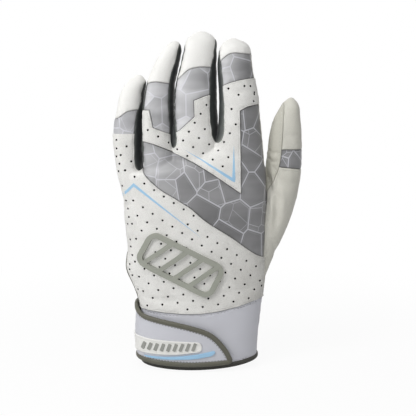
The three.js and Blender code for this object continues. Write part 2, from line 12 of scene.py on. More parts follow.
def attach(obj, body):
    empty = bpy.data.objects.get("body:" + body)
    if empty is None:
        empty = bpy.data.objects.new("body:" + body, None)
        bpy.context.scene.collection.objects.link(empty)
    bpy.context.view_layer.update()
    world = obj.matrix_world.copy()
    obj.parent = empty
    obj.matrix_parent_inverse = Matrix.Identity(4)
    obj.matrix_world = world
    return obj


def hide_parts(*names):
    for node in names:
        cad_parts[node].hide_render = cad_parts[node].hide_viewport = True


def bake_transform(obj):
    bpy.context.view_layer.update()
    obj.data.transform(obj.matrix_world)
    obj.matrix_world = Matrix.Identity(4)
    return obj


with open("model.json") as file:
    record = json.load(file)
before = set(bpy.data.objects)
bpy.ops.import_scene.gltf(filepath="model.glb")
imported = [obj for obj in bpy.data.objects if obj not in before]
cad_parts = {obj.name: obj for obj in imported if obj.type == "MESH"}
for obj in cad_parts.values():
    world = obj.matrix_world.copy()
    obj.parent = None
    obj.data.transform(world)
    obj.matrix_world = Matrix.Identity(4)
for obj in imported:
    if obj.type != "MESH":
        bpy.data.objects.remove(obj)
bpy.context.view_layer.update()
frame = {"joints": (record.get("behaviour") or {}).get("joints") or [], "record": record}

# %% [markdown]
# A batting glove stands on its cuff here, the back of the hand towards -Y and the thumb on +X. It is sewn
# from thin panels over one hand-shaped form, so the script first shapes that form, then cuts the panels out
# of it the way a pattern cutter would, and only then rounds their edges and gives them their leather or
# cloth. All modelling is in millimetres, and each finished piece is moved into the frame's metres at the
# end.

# %% Sizes
GLOVE_LENGTH = 226.0
PALM_WIDTH = 96.0
PALM_DEPTH = 29.0
LEATHER = 1.2
HEM_HEIGHT = 3.4
KNUCKLE_SLOPE = 0.177
WEB_HEIGHT = 140.0
FORM_VOXEL = 0.62
LINING_VOXEL = 1.1

# Each row is one level section: height, left edge, right edge, middle of its depth, half depth, tilt.
HAND = [
    (0, -0.39, 0.428, 0, 0.586, 0),
    (0.09, -0.406, 0.437, 0, 0.569, 0),
    (0.181, -0.402, 0.459, 0.01, 0.543, 0),
    (0.265, -0.447, 0.482, 0.026, 0.526, 0),
    (0.345, -0.478, 0.476, 0.034, 0.534, 0),
    (0.442, -0.501, 0.482, 0.017, 0.517, 0),
    (0.522, -0.508, 0.484, -0.003, 0.49, 0),
    (0.589, -0.537, 0.478, -0.01, 0.45, 0.06),
    (0.62, -0.44, 0.4, 0, 0.36, 0.2),
    (0.636, -0.3, 0.28, 0, 0.24, 0.28),
]
FINGERS = {
    "little": [
        (0.496, -0.49, -0.35, 0.02, 0.3), (0.575, -0.537, -0.36, 0.03, 0.33),
        (0.606, -0.549, -0.381, 0.045, 0.328), (0.708, -0.572, -0.381, 0.065, 0.305),
        (0.761, -0.549, -0.378, 0.095, 0.286), (0.814, -0.523, -0.367, 0.13, 0.259),
        (0.847, -0.484, -0.354, 0.16, 0.2), (0.866, -0.43, -0.375, 0.18, 0.09),
    ],
    "ring": [
        (0.509, -0.36, -0.12, 0.01, 0.33), (0.637, -0.365, -0.143, 0.03, 0.345),
        (0.677, -0.371, -0.158, 0.04, 0.338), (0.761, -0.367, -0.162, 0.06, 0.318),
        (0.841, -0.338, -0.157, 0.09, 0.293), (0.903, -0.282, -0.125, 0.13, 0.265),
        (0.942, -0.232, -0.104, 0.16, 0.205), (0.964, -0.185, -0.118, 0.18, 0.09),
    ],
    "middle": [
        (0.522, -0.16, 0.16, 0.01, 0.34), (0.655, -0.157, 0.153, 0.02, 0.362),
        (0.695, -0.155, 0.147, 0.03, 0.352), (0.761, -0.149, 0.138, 0.05, 0.334),
        (0.827, -0.143, 0.134, 0.075, 0.317), (0.894, -0.108, 0.131, 0.11, 0.297),
        (0.942, -0.086, 0.138, 0.14, 0.272), (0.974, -0.064, 0.134, 0.165, 0.2),
        (0.992, -0.015, 0.085, 0.18, 0.09),
    ],
    "index": [
        (0.522, 0.11, 0.486, 0.01, 0.36), (0.664, 0.128, 0.458, 0.02, 0.348),
        (0.699, 0.151, 0.446, 0.025, 0.341), (0.779, 0.161, 0.43, 0.045, 0.324),
        (0.841, 0.158, 0.407, 0.075, 0.307), (0.898, 0.151, 0.381, 0.105, 0.29),
        (0.938, 0.156, 0.374, 0.135, 0.262), (0.96, 0.176, 0.35, 0.16, 0.19),
        (0.971, 0.205, 0.295, 0.175, 0.09),
    ],
}
THUMB = [
    (0.235, 0.18, 0.455, 0.16, 0.24), (0.332, 0.26, 0.55, 0.24, 0.33),
    (0.42, 0.333, 0.641, 0.3, 0.39), (0.496, 0.415, 0.699, 0.31, 0.405),
    (0.562, 0.475, 0.724, 0.29, 0.395), (0.628, 0.498, 0.737, 0.27, 0.38),
    (0.686, 0.514, 0.73, 0.25, 0.36), (0.739, 0.542, 0.719, 0.23, 0.31),
    (0.779, 0.587, 0.714, 0.21, 0.22), (0.8, 0.632, 0.682, 0.2, 0.09),
]
FINGER_ROLL = 0.3
THUMB_ROLL = -0.2
HAND_SQUARENESS = 2.5
DOME = 1.6
FINGER_SQUARENESS = 2.15

KNUCKLE_DEPTH, KNUCKLE_HEIGHT = 0.46, 0.6056

joints = {joint["name"]: joint for joint in frame["joints"]}
knuckle_at = Vector(joints["knuckle_bend"]["pos_m"]) * 1000
TO_FRAME = knuckle_at - Vector((0, KNUCKLE_DEPTH * PALM_DEPTH, KNUCKLE_HEIGHT * GLOVE_LENGTH))
print("model to frame, mm:", tuple(round(v, 3) for v in TO_FRAME))

# %% [markdown]
# A node tree is easiest to read as arithmetic. One small class wraps a socket, so that sums and products of
# sockets add their own Math nodes, and a second one adds any other node. The room, the floor and every
# finish are written with the two.

# %% Node trees as expressions
finishes = {}


class Wire:
    """One value in a node tree."""

    def __init__(self, tree, socket):
        self.tree = tree
        self.socket = socket

    def other(self, output):
        """Another output of the same node."""
        return Wire(self.tree, self.socket.node.outputs[output])

    def maths(self, operation, *values):
        node = self.tree.nodes.new("ShaderNodeMath")
        node.operation = operation
        for slot, value in zip(node.inputs, values):
            put(slot, value)
        return Wire(self.tree, node.outputs[0])

    def __add__(self, other):
        return self.maths("ADD", self, other)

    def __sub__(self, other):
        return self.maths("SUBTRACT", self, other)

    def __rsub__(self, other):
        return self.maths("SUBTRACT", other, self)

    def __mul__(self, other):
        return self.maths("MULTIPLY", self, other)

    def __truediv__(self, other):
        return self.maths("DIVIDE", self, other)

    __radd__ = __add__
    __rmul__ = __mul__

    def sine(self):
        return self.maths("SINE", self)

    def clamped(self):
        return self.maths("MINIMUM", self.maths("MAXIMUM", self, 0.0), 1.0)


def put(slot, value):
    """Gives an input a wire or a plain value."""
    if isinstance(value, Wire):
        value.tree.links.new(value.socket, slot)
    else:
        slot.default_value = value

# %% Trees and finishes
class Nodes:
    """A node tree whose nodes are added as they are named."""

    def __init__(self, tree):
        self.tree = tree

    def node(self, kind, settings=None, inputs=None, output=0):
        node = self.tree.nodes.new("ShaderNode" + kind)
        for key, value in (settings or {}).items():
            setattr(node, key, value)
        for key, value in (inputs or {}).items():
            put(node.inputs[key], value)
        return Wire(self.tree, node.outputs[output]) if node.outputs else None


class Finish(Nodes):
    """A material. Its patterns read the place that a point had on the glove at rest, in millimetres, so a
    print or a grain stays put when a finger bends."""

    def __init__(self, name, colour, roughness, sheen=0.0, gloss=0.5):
        self.material = finishes[name] = bpy.data.materials.new(name)
        self.material.use_nodes = True
        super().__init__(self.material.node_tree)
        self.shader = self.tree.nodes["Principled BSDF"]
        for socket, value in (("Base Color", (*colour, 1)), ("Roughness", roughness), ("Sheen Weight", sheen),
                              ("Specular IOR Level", gloss)):
            self.shader.inputs[socket].default_value = value

    def feed(self, socket, wire):
        put(self.shader.inputs[socket], wire)

    def place(self):
        return self.node("Attribute", {"attribute_name": "cloth"}, output="Vector")

    def by_seam(self, reach):
        """One at a seam, falling to nothing at a distance from it."""
        away = self.node("Attribute", {"attribute_name": "seam"}, output="Fac")
        return (1 - away / reach).clamped()

    def parts(self, vector):
        split = self.node("SeparateXYZ", None, {0: vector})
        return [split, split.other(1), split.other(2)]

    def mixed(self, factor, a, b):
        """A colour between two, where each is a wire or three numbers."""
        a, b = (colour if isinstance(colour, Wire) else (*colour, 1) for colour in (a, b))
        return self.node("Mix", {"data_type": "RGBA"}, {0: factor, 6: a, 7: b}, 2)

    def noise(self, vector, size, detail=2.0):
        return self.node("TexNoise", None, {"Vector": vector, "Scale": 1 / size, "Detail": detail})

    def cells(self, vector, size, feature="F1", output="Distance", randomness=1.0, flat=False):
        return self.node("TexVoronoi", {"voronoi_dimensions": "2D" if flat else "3D", "feature": feature},
                         {"Vector": vector, "Scale": 1 / size, "Randomness": randomness}, output)

    def bump(self, height, depth_mm):
        self.feed("Normal", self.node("Bump", None, {"Height": height, "Distance": depth_mm / 1000}))

# %% Objects
def in_scene(name, data):
    obj = bpy.data.objects.new(name, data)
    bpy.context.collection.objects.link(obj)
    return obj


def new_object(name, bm):
    mesh = bpy.data.meshes.new(name)
    bm.to_mesh(mesh)
    bm.free()
    return in_scene(name, mesh)

# %% [markdown]
# The camera stands 56 cm away and looks down by 8 degrees, as the photograph was taken: the hem curves down
# at the front and the fingers are seen square on. The light is a product photographer's: a soft lamp at the
# upper left, a larger one overhead, a broad fill in front, a weak one behind, and an even room. The floor
# and the backdrop are white to the camera only, so they add no light of their own.

# %% Camera and lights
CAMERA_DISTANCE = 0.56
CAMERA_ELEVATION = math.radians(8)
AIM = Vector((0.0001, -0.0116, 0.1095))
LENS, SENSOR, CLIP_START = 73.4, 36, 0.01
LAMP_AIM = Vector((0, 0, 0.11))
LAMPS = [  # name, place, width in metres, watts
    ("key_light", (-0.42, -0.34, 0.44), 0.26, 1.6),
    ("top_light", (-0.12, -0.28, 0.8), 0.4, 1.9),
    ("fill_light", (-0.2, -1.2, 0.3), 0.9, 1.4),
    ("back_light", (-0.1, 0.9, 0.7), 0.9, 1.4),
]


def aimed(obj, target):
    obj.rotation_euler = (target - obj.location).to_track_quat("-Z", "Y").to_euler()


scene = bpy.context.scene
scene.view_settings.view_transform = "Standard"
scene.camera = in_scene("camera", bpy.data.cameras.new("camera"))
scene.camera.data.lens = LENS
scene.camera.data.sensor_width = SENSOR
scene.camera.data.clip_start = CLIP_START
back_off = Vector((0, -math.cos(CAMERA_ELEVATION), math.sin(CAMERA_ELEVATION)))
scene.camera.location = AIM + CAMERA_DISTANCE * back_off
aimed(scene.camera, AIM)

for name, place, size, watts in LAMPS:
    lamp = in_scene(name, bpy.data.lights.new(name, "AREA"))
    lamp.data.shape = "DISK"
    lamp.data.size = size
    lamp.data.energy = watts
    lamp.location = place
    aimed(lamp, LAMP_AIM)

print("camera and", len(LAMPS), "lamps")

# %% Room and floor
AMBIENT = 0.33
WHITE_LIGHT = (1, 1, 1, 1)
FLOOR_RADIUS, FLOOR_SIDES, FLOOR_DROP = 0.5, 96, 0.0005
FLOOR_FADE = {"From Min": 0.1, "From Max": 0.36, "To Min": 0.93, "To Max": 1.0}
scene.world = bpy.data.worlds.new("studio")
scene.world.use_nodes = True
scene.world.node_tree.nodes.clear()
room = Nodes(scene.world.node_tree)
direct = room.node("LightPath", output="Is Camera Ray")
glossy, through = direct.other("Is Glossy Ray"), direct.other("Is Transmission Ray")
seen = direct.maths("MAXIMUM", direct, glossy.maths("MAXIMUM", glossy, through))
dim = room.node("Background", None, {"Color": WHITE_LIGHT, "Strength": AMBIENT})
white = room.node("Background", None, {"Color": WHITE_LIGHT})
room.node("OutputWorld", None, {"Surface": room.node("MixShader", None, {0: seen, 1: dim, 2: white})})

floor_bm = bmesh.new()
bmesh.ops.create_circle(floor_bm, cap_ends=True, segments=FLOOR_SIDES, radius=FLOOR_RADIUS)
floor = new_object("floor", floor_bm)
floor.location = (0, 0, -FLOOR_DROP)
paper = Finish("floor_paper", (0.85, 0.85, 0.85), 0.9)
ground = paper.node("TexCoord", output="Object")
away = paper.node("VectorMath", {"operation": "LENGTH"}, {0: ground}, "Value")
fade = paper.node("MapRange", {"interpolation_type": "SMOOTHSTEP"}, {"Value": away, **FLOOR_FADE}, "Result")
share = paper.node("LightPath", output="Is Camera Ray") * fade
shaded = Wire(paper.tree, paper.shader.outputs[0])
surface = paper.node("MixShader", None, {0: share, 1: shaded, 2: paper.node("Emission")})
put(paper.tree.nodes["Material Output"].inputs["Surface"], surface)
floor.data.materials.append(paper.material)
print("floor, mm across:", FLOOR_RADIUS * 2000)

# %% [markdown]
# A tube is the plainest start for a finger: a cone with equal ends, cut into rings, whose rings then take
# the widths and depths of a table. One smooth curve runs through the table's rows, so few rows are needed.

# %% Helpers that make and finish meshes
def x_of(share):
    return share * PALM_WIDTH


def z_of(share):
    return share * GLOVE_LENGTH


def discard(*objects):
    for obj in objects:
        mesh = obj.data
        bpy.data.objects.remove(obj)
        if mesh.users == 0:
            bpy.data.meshes.remove(mesh)


def applied(obj):
    """Turn an object's modifiers into its mesh."""
    depsgraph = bpy.context.evaluated_depsgraph_get()
    mesh = bpy.data.meshes.new_from_object(obj.evaluated_get(depsgraph))
    old = obj.data
    obj.modifiers.clear()
    obj.data = mesh
    mesh.name = obj.name
    if old.users == 0:
        bpy.data.meshes.remove(old)
    return obj


def vectors(items, key="co"):
    """The places of a mesh's vertices, or its normals, as rows."""
    flat = np.empty(len(items) * 3)
    items.foreach_get(key, flat)
    return flat.reshape(-1, 3)


def write_points(mesh, points):
    mesh.vertices.foreach_set("co", np.ascontiguousarray(points, dtype=np.float32).ravel())
    mesh.update()

# %% Tubes
def rounded(part, squareness):
    """A cosine or sine of the way round, as on a rounded rectangle."""
    return math.copysign(abs(part) ** (2 / squareness), part)


def section_at(rows, along):
    """The table's row at a share of the way along it, on a smooth curve through the rows."""
    table = np.array([row + (0,) * (6 - len(row)) for row in rows], dtype=float)
    spans = len(rows) - 1
    span = min(int(along * spans), spans - 1)
    u = along * spans - span
    a, b = table[span], table[span + 1]
    slope_a = (b - table[max(span - 1, 0)]) / 2
    slope_b = (table[min(span + 2, spans)] - a) / 2
    bow = slope_a + slope_b - 2 * (b - a)
    return a + u * (slope_a + u * (3 * (b - a) - 2 * slope_a - slope_b + u * bow))


def tube(name, rows, sides, rings, grow=0.0, squareness=FINGER_SQUARENESS, roll=0.0, below=0.0):
    """One tube of the hand, grown outwards all round by a distance."""
    bm = bmesh.new()
    bmesh.ops.create_cone(bm, cap_ends=True, segments=sides, radius1=1, radius2=1, depth=1)
    uprights = [edge for edge in bm.edges if abs(edge.verts[0].co.z - edge.verts[1].co.z) > 0.5]
    bmesh.ops.subdivide_edges(bm, edges=uprights, cuts=rings - 1, use_grid_fill=True)
    crown = [face for face in bm.faces if face.normal.z > 0.9]
    bmesh.ops.inset_region(bm, faces=crown, thickness=0.45)
    for vert in bm.verts:
        along = vert.co.z + 0.5
        turn = math.atan2(vert.co.y, vert.co.x)
        height, left, right, middle, depth, tilt = section_at(rows, min(max(along, 0), 1))
        reach = min(math.hypot(vert.co.x, vert.co.y), 1)
        across, deep = (reach * rounded(part, squareness) for part in (math.cos(turn), math.sin(turn)))
        half_depth = depth * PALM_DEPTH + grow
        x = x_of((left + right) / 2) + (x_of(right - left) / 2 + grow) * across + roll * half_depth * deep
        rise = grow + DOME * (1 - reach**2) if along > 0.9999 else -below if along < 0.0001 else 0
        vert.co = (x, middle * PALM_DEPTH + half_depth * deep, z_of(height) + rise + tilt * x)
    return new_object(name, bm)


def joined(name, objects):
    """Several objects as one, without welding them."""
    bm = bmesh.new()
    for obj in objects:
        bm.from_mesh(obj.data)
    discard(*objects)
    return new_object(name, bm)

# %% The hand as one form
TIP_HALF = 0.03
ROOT_REACH, TIP_SHARE, ROOT_ROUNDS = 9, 0.93, 6
TUBE_SIDES = 56


def tip_height(x):
    """The height that a finger or the thumb reaches at a place across the hand."""
    tops = {rows[-1][1]: rows[-1][0] for rows in (*FINGERS.values(), THUMB)}
    nearest = min(tops, key=lambda left: abs(x_of(left + TIP_HALF) - x))
    return z_of(tops[nearest])


def smoothed(obj, rounds, group=""):
    smooth = obj.modifiers.new("smooth", "SMOOTH")
    smooth.iterations = rounds
    smooth.factor = 0.5
    smooth.vertex_group = group
    return applied(obj)


def hand_form(name, grow, voxel, smoothing, below=12.0):
    """The whole hand as one smooth closed surface; the finger roots and tips are eased most."""
    tubes = [tube("palm_tube", HAND, 96, 90, grow, HAND_SQUARENESS, below=below)]
    for finger, rows in FINGERS.items():
        tubes.append(tube(finger + "_tube", rows, TUBE_SIDES, 80, grow, roll=FINGER_ROLL))
    tubes.append(tube("thumb_tube", THUMB, TUBE_SIDES, 70, grow, roll=THUMB_ROLL))
    form = joined(name, tubes)
    remesh = form.modifiers.new("skin", "REMESH")
    remesh.mode = "VOXEL"
    remesh.voxel_size = voxel
    remesh.use_smooth_shade = True
    smoothed(form, smoothing)
    roots = form.vertex_groups.new(name="roots")
    for i, point in enumerate(vectors(form.data.vertices)):
        slope = point[2] - KNUCKLE_SLOPE * point[0]
        near = math.exp(-(((slope - WEB_HEIGHT) / ROOT_REACH) ** 2))
        tip = 1.0 if point[2] > TIP_SHARE * tip_height(point[0]) else 0.0
        if near + tip > 0.05:
            roots.add([i], min(near + tip, 1), "REPLACE")
    return smoothed(form, smoothing * ROOT_ROUNDS, "roots")


form = hand_form("hand_form", 0.0, FORM_VOXEL, 8)
lining = hand_form("lining_form", -LEATHER, LINING_VOXEL, 4, below=14.0)
print("form", len(form.data.polygons), "faces, lining", len(lining.data.polygons), "faces")

# %% [markdown]
# Leather remembers the hand: it folds over the finger joints on the palm side, across the heel of the hand
# and where the thumb meets the palm, and it is never quite flat between. Each fold is a stroke with a width
# and a depth, pressed into the form before any panel is cut, so a fold runs on from one panel into the
# next. The little finger's edge of the wrist stands out where its slit gapes above the strap.

# %% Folds and gentle waves
WAVE_HEIGHT = 0.34
WAVE_LENGTH = 17.0
FOLD_STRENGTH = 1.25
GAPE_HEIGHT, GAPE_HALF, GAPE = 67.0, 8.5, 3.0
FOLDS = {  # on each side: half width, depth (negative stands up), and the points it runs through
    "back": [
        (1.5, 0.75, [(45.6, 134), (48.6, 128), (50, 120), (49.4, 110)]),
        (1.3, -0.45, [(48.4, 136), (51.5, 128), (52.2, 118)]),
        (1.2, 0.5, [(50.4, 138), (53.6, 130.5), (54.6, 121)]),
        (1.6, 0.55, [(46.4, 117), (48.6, 107), (49, 96)]),
        (2.6, 1.1, [(51, 124), (53.5, 115), (54, 104), (52.5, 92)]),
        (1.5, -0.5, [(49.6, 121), (50.2, 110), (49.6, 97)]),
        (2.0, -0.45, [(56.5, 122), (58.2, 114), (57.6, 105)]),
        (1.5, 0.5, [(49.5, 88), (53, 81), (55, 72)]),
        (1.1, 0.45, [(47.2, 142.5), (50.5, 139), (54.6, 139.4)]),
        (1.0, 0.4, [(47.4, 147.5), (50.2, 145), (54.2, 145.4)]),
        (1.4, -0.35, [(46.8, 145), (50.8, 142.2), (55.4, 142.6)]),
        (2.2, 0.35, [(-52, 163), (-46, 161.5), (-40, 163.5)]),
        (2.0, 0.3, [(-34, 177), (-27, 175), (-19, 177)]),
        (2.0, 0.28, [(-13, 189), (-3, 186.5), (8, 188.5)]),
        (2.0, 0.3, [(17, 187), (26, 184.5), (36, 186.5)]),
        (1.8, 0.3, [(18, 201), (26, 198.6), (35, 200.4)]),
        (4.5, 0.5, [(6, 99), (24, 84), (43, 66)]),
        (3.6, 0.35, [(-47, 96), (-30, 99), (-12, 96)]),
        (2.4, 0.4, [(-41, 49), (-24, 47), (-6, 48)]),
        (2.6, 0.35, [(12, 52), (30, 54), (43, 58)]),
        (2.0, 0.3, [(57, 158), (63, 156), (69, 158)]),
        (2.4, 0.35, [(56, 128), (62, 124), (69, 127)]),
    ],
    "palm": [
        (1.4, 0.9, [(-53, 158), (-46, 157.2), (-38, 158.4)]),
        (1.4, 0.9, [(-36, 173.2), (-27, 172.4), (-16, 173.6)]),
        (1.4, 0.9, [(-15, 183.5), (-2, 182.6), (12, 183.8)]),
        (1.4, 0.9, [(16, 178), (27, 177.2), (40, 178.4)]),
        (1.2, 0.6, [(-51, 174), (-44, 173.4), (-37, 174.6)]),
        (1.2, 0.6, [(-33, 193), (-25, 192.4), (-16, 193.6)]),
        (1.2, 0.6, [(-12, 204), (-1, 203.4), (12, 204.6)]),
        (1.2, 0.6, [(16, 198.5), (26, 198), (37, 199)]),
        (1.8, 0.9, [(-52, 131), (-30, 137), (-6, 143), (16, 146), (41, 142)]),
        (1.6, 0.8, [(-49, 111), (-26, 118), (2, 121), (28, 133)]),
        (1.8, 0.9, [(36, 124), (20, 116), (9, 99), (7, 78), (13, 60)]),
        (1.5, 0.6, [(41, 118), (4, 108), (-32, 92)]),
        (2.4, 0.6, [(-38, 45), (-10, 49), (20, 48), (42, 51)]),
        (1.4, 0.8, [(50, 147.4), (58, 146.6), (69, 148)]),
        (1.8, 0.6, [(43, 118), (52, 112), (64, 110)]),
    ],
}


def along_folds(points, normals):
    """How far each point of the form is pressed in by the folds."""
    pressed = np.zeros(len(points))
    flat = points[:, [0, 2]]
    for side, folds in FOLDS.items():
        facing = np.clip(0.5 + (-normals[:, 1] if side == "back" else normals[:, 1]) * 2.5, 0, 1)
        for width, depth, stroke in folds:
            knots = np.array(stroke, dtype=float)
            nearest = np.full(len(points), 1e9)
            share = np.zeros(len(points))
            for i, (a, b) in enumerate(zip(knots[:-1], knots[1:])):
                step = b - a
                t = np.clip((flat - a) @ step / (step @ step), 0, 1)
                reach = np.linalg.norm(flat - a - t[:, None] * step, axis=1)
                closer = reach < nearest
                nearest[closer] = reach[closer]
                share[closer] = (i + t[closer]) / (len(knots) - 1)
            fade = np.clip(4 * share * (1 - share) + 0.15, 0, 1)
            pressed += facing * depth * fade * np.exp(-((nearest / width) ** 2))
    return pressed


def tree_of(points):
    tree = kdtree.KDTree(len(points))
    for i, point in enumerate(points):
        tree.insert(point, i)
    tree.balance()
    return tree

# %% Press the folds in
for surface in (form.data, lining.data):
    points = vectors(surface.vertices)
    normals = vectors(surface.vertex_normals, "vector")
    waves = np.array([noise.noise(Vector(p) / WAVE_LENGTH) for p in points])
    edge = np.clip(-normals[:, 0], 0, 1) ** 2 * (points[:, 0] < 0)
    gape = GAPE * np.exp(-(((points[:, 2] - GAPE_HEIGHT) / GAPE_HALF) ** 2)) * edge
    pressed = FOLD_STRENGTH * along_folds(points, normals) + WAVE_HEIGHT * waves - gape
    points -= normals * pressed[:, None]
    write_points(surface, points)
print("folds pressed in:", sum(len(folds) for folds in FOLDS.values()))

form_normals = vectors(form.data.vertex_normals, "vector")
form_tree = tree_of(vectors(form.data.vertices))
form_surface = BVHTree.FromObject(form, bpy.context.evaluated_depsgraph_get())


def outward(place):
    """The way that the form faces near a place."""
    return Vector(form_normals[form_tree.find(place)[1]])

# %% [markdown]
# A pattern piece is an outline seen from the front, drawn through a few points and pushed through the hand
# as a prism. Cutting with exact solids gives each panel real thickness and makes neighbours meet without a
# gap. Every face remembers what it belongs to: the outside, the lining, a seam, a hole or a bend that no
# seam follows.

# %% Pattern cutting
SEAM, OUTSIDE, LINING, HOLE, BEND = range(5)
OVERRUN = 45.0
CORNER_DEGREES, LONG_RUN, CURVE_STEPS = 38, 45, 6
CRUMB = 0.12


def tagged(obj, value):
    side = obj.data.attributes.new("side", "INT", "FACE")
    side.data.foreach_set("value", [value] * len(obj.data.polygons))
    return obj


def drawn(shares):
    """An outline in millimetres: a curve through its gentle points, sharp at its corners."""
    points = [Vector((x_of(x), z_of(z))) for x, z in shares]
    count = len(points)
    heading = []
    for i, point in enumerate(points):
        before = (point - points[i - 1]).normalized()
        after = (points[(i + 1) % count] - point).normalized()
        gentle = math.degrees(before.angle(after, 0)) < CORNER_DEGREES
        heading.append((before + after).normalized() if gentle else None)
    outline = []
    for i, start in enumerate(points):
        end = points[(i + 1) % count]
        run = end - start
        leave = heading[i] * run.length if heading[i] else run
        arrive = heading[(i + 1) % count] * run.length if heading[(i + 1) % count] else run
        straight = run.length > LONG_RUN or (heading[i] is None and heading[(i + 1) % count] is None)
        for k in range(1 if straight else CURVE_STEPS):
            t = k / CURVE_STEPS
            outline.append(start * (2 * t**3 - 3 * t**2 + 1) + leave * (t**3 - 2 * t**2 + t)
                           + end * (3 * t**2 - 2 * t**3) + arrive * (t**3 - t**2))
    return outline

# %% Solids from outlines
def extruded(name, corners, push):
    """A solid with a flat outline, pushed out to a thickness."""
    bm = bmesh.new()
    face = bm.faces.new([bm.verts.new(corner) for corner in corners])
    grown = bmesh.ops.extrude_face_region(bm, geom=[face])
    verts = [item for item in grown["geom"] if isinstance(item, bmesh.types.BMVert)]
    bmesh.ops.translate(bm, verts=verts, vec=push)
    bmesh.ops.recalc_face_normals(bm, faces=bm.faces)
    return new_object(name, bm)


def prism(outline, near=-OVERRUN, far=OVERRUN, value=SEAM):
    """A cutter drawn in the front view, which runs from near to far."""
    return tagged(extruded("prism", [(x, near, z) for x, z in outline], (0, far - near, 0)), value)


def side_prism(outline, left, right):
    """A cutter drawn in depth and height, which runs across the glove from left to right."""
    return tagged(extruded("side_prism", [(left, y, z) for y, z in outline], (right - left, 0, 0)), SEAM)


def combined(a, b, operation, name="solid", keep=False):
    """The solid that two solids make together, which are used up unless they are kept."""
    solid = in_scene(name, a.data.copy())
    modifier = solid.modifiers.new("cut", "BOOLEAN")
    modifier.operation = operation
    modifier.solver = "MANIFOLD"
    modifier.object = b
    applied(solid)
    if not keep:
        discard(a, b)
    return solid

# %% Cuts and crumbs
def cut(name, source, cutter):
    """Makes a panel out of a part of another one; what is left keeps its name. The cutter is used up."""
    shell = panels[source]
    panels[name] = combined(shell, cutter, "INTERSECT", keep=True)
    panels[source] = combined(shell, cutter, "DIFFERENCE")


def trimmed(obj):
    """Drops the crumbs of a cut: bodies with less than a share of the largest one's faces."""
    bm = bmesh.new()
    bm.from_mesh(obj.data)
    left = set(bm.faces)
    bodies = []
    while left:
        todo = [left.pop()]
        body = []
        while todo:
            here = todo.pop()
            body.append(here)
            near = {other for edge in here.edges for other in edge.link_faces} & left
            left -= near
            todo += near
        bodies.append(body)
    most = max(len(body) for body in bodies)
    crumbs = [face for body in bodies if len(body) < CRUMB * most for face in body]
    bmesh.ops.delete(bm, geom=crumbs, context="FACES")
    bm.to_mesh(obj.data)
    bm.free()
    return len(bodies)

# %% Outlines, as shares of the palm's width and the glove's length
LITTLE_RING_GAP = [(-0.376, 0.59), (-0.3745, 0.761), (-0.352, 0.84), (-0.33, 0.875), (-0.29, 1.1)]
RING_MIDDLE_GAP = [
    (-0.155, 0.64), (-0.156, 0.761), (-0.148, 0.835), (-0.1125, 0.9), (-0.09, 0.942), (-0.07, 1.1)]
MIDDLE_INDEX_GAP = [
    (0.15, 0.68), (0.153, 0.779), (0.149, 0.841), (0.141, 0.9), (0.14, 0.942), (0.15, 1.1)]
INDEX_THUMB_GAP = [(0.4805, 0.56), (0.475, 0.66), (0.5, 0.78), (0.5, 1.1)]
OUTER_EDGE = [(-0.9, 0.6), (-0.9, 1.1)]


def cup(left, right, low, high):
    """The round bottom of a strip, from its right side to its left."""
    middle, half = (left + right) / 2, (right - left) / 2
    turns = np.linspace(0, math.pi, 8)
    return [(middle + half * math.cos(a), high - (high - low) * math.sin(a)) for a in turns]


STRIPS = {
    "little_ring": (LITTLE_RING_GAP, cup(-0.431, -0.367, 0.589, 0.62) + [
        (-0.432, 0.65), (-0.426, 0.713), (-0.408, 0.759), (-0.376, 0.8),
        (-0.348, 0.84), (-0.34, 0.88), (-0.32, 0.88), (-0.338, 0.84), (-0.3665, 0.761), (-0.366, 0.65)]),
    "ring_middle": (RING_MIDDLE_GAP, cup(-0.184, -0.133, 0.657, 0.681) + [
        (-0.182, 0.709), (-0.19, 0.764), (-0.19, 0.818), (-0.178, 0.863),
        (-0.14, 0.917), (-0.118, 0.96), (-0.118, 1.05), (-0.08, 1.05), (-0.08, 0.942), (-0.104, 0.9),
        (-0.14, 0.835), (-0.148, 0.761), (-0.137, 0.709)]),
    "middle_index": (MIDDLE_INDEX_GAP, cup(0.1, 0.19, 0.672, 0.709) + [
        (0.09, 0.745), (0.091, 0.81), (0.096, 0.872), (0.106, 0.904),
        (0.124, 0.931), (0.13, 0.957), (0.12, 1.05), (0.16, 1.05), (0.156, 0.942), (0.166, 0.9),
        (0.18, 0.841), (0.192, 0.779), (0.192, 0.745)]),
}
KNUCKLE_OVERLAY = [
    (0.305, 0.527), (0.301, 0.69), (0.296, 0.766), (0.355, 0.779), (0.6, 0.787), (0.6, 0.83), (0.153, 0.83),
    (0.153, 0.812), (0.0875, 0.811), (-0.017, 0.795), (-0.013, 0.749), (-0.12, 0.708), (-0.169, 0.695),
    (-0.299, 0.717), (-0.322, 0.767), (-0.376, 0.767), (-0.376, 0.677), (-0.358, 0.677), (-0.142, 0.642),
    (0.076, 0.593)]
RING_BAND = [
    (-0.3755, 0.68), (-0.3745, 0.761), (-0.35, 0.842), (-0.302, 0.849), (-0.19, 0.845), (-0.147, 0.843),
    (-0.148, 0.835), (-0.156, 0.761), (-0.155, 0.68)]
MIDDLE_BAND = [
    (-0.155, 0.68), (-0.156, 0.761), (-0.148, 0.835), (-0.137, 0.856), (-0.119, 0.861), (-0.054, 0.884),
    (0.02, 0.892), (0.142, 0.89), (0.149, 0.841), (0.153, 0.779), (0.15, 0.68)]
LITTLE_BAND = [(-0.9, 0.6), (-0.2, 0.6), (-0.2, 0.768), (-0.465, 0.765), (-0.547, 0.745), (-0.9, 0.72)]
INDEX_PANEL = [(0.05, 0.7), (0.6, 0.7), (0.6, 0.87), (0.235, 0.847), (0.16, 0.832), (0.05, 0.8)]
INDEX_BAND = [
    (0.05, 0.7), (0.6, 0.7), (0.6, 0.93), (0.352, 0.93), (0.234, 0.931), (0.176, 0.915), (0.05, 0.85)]
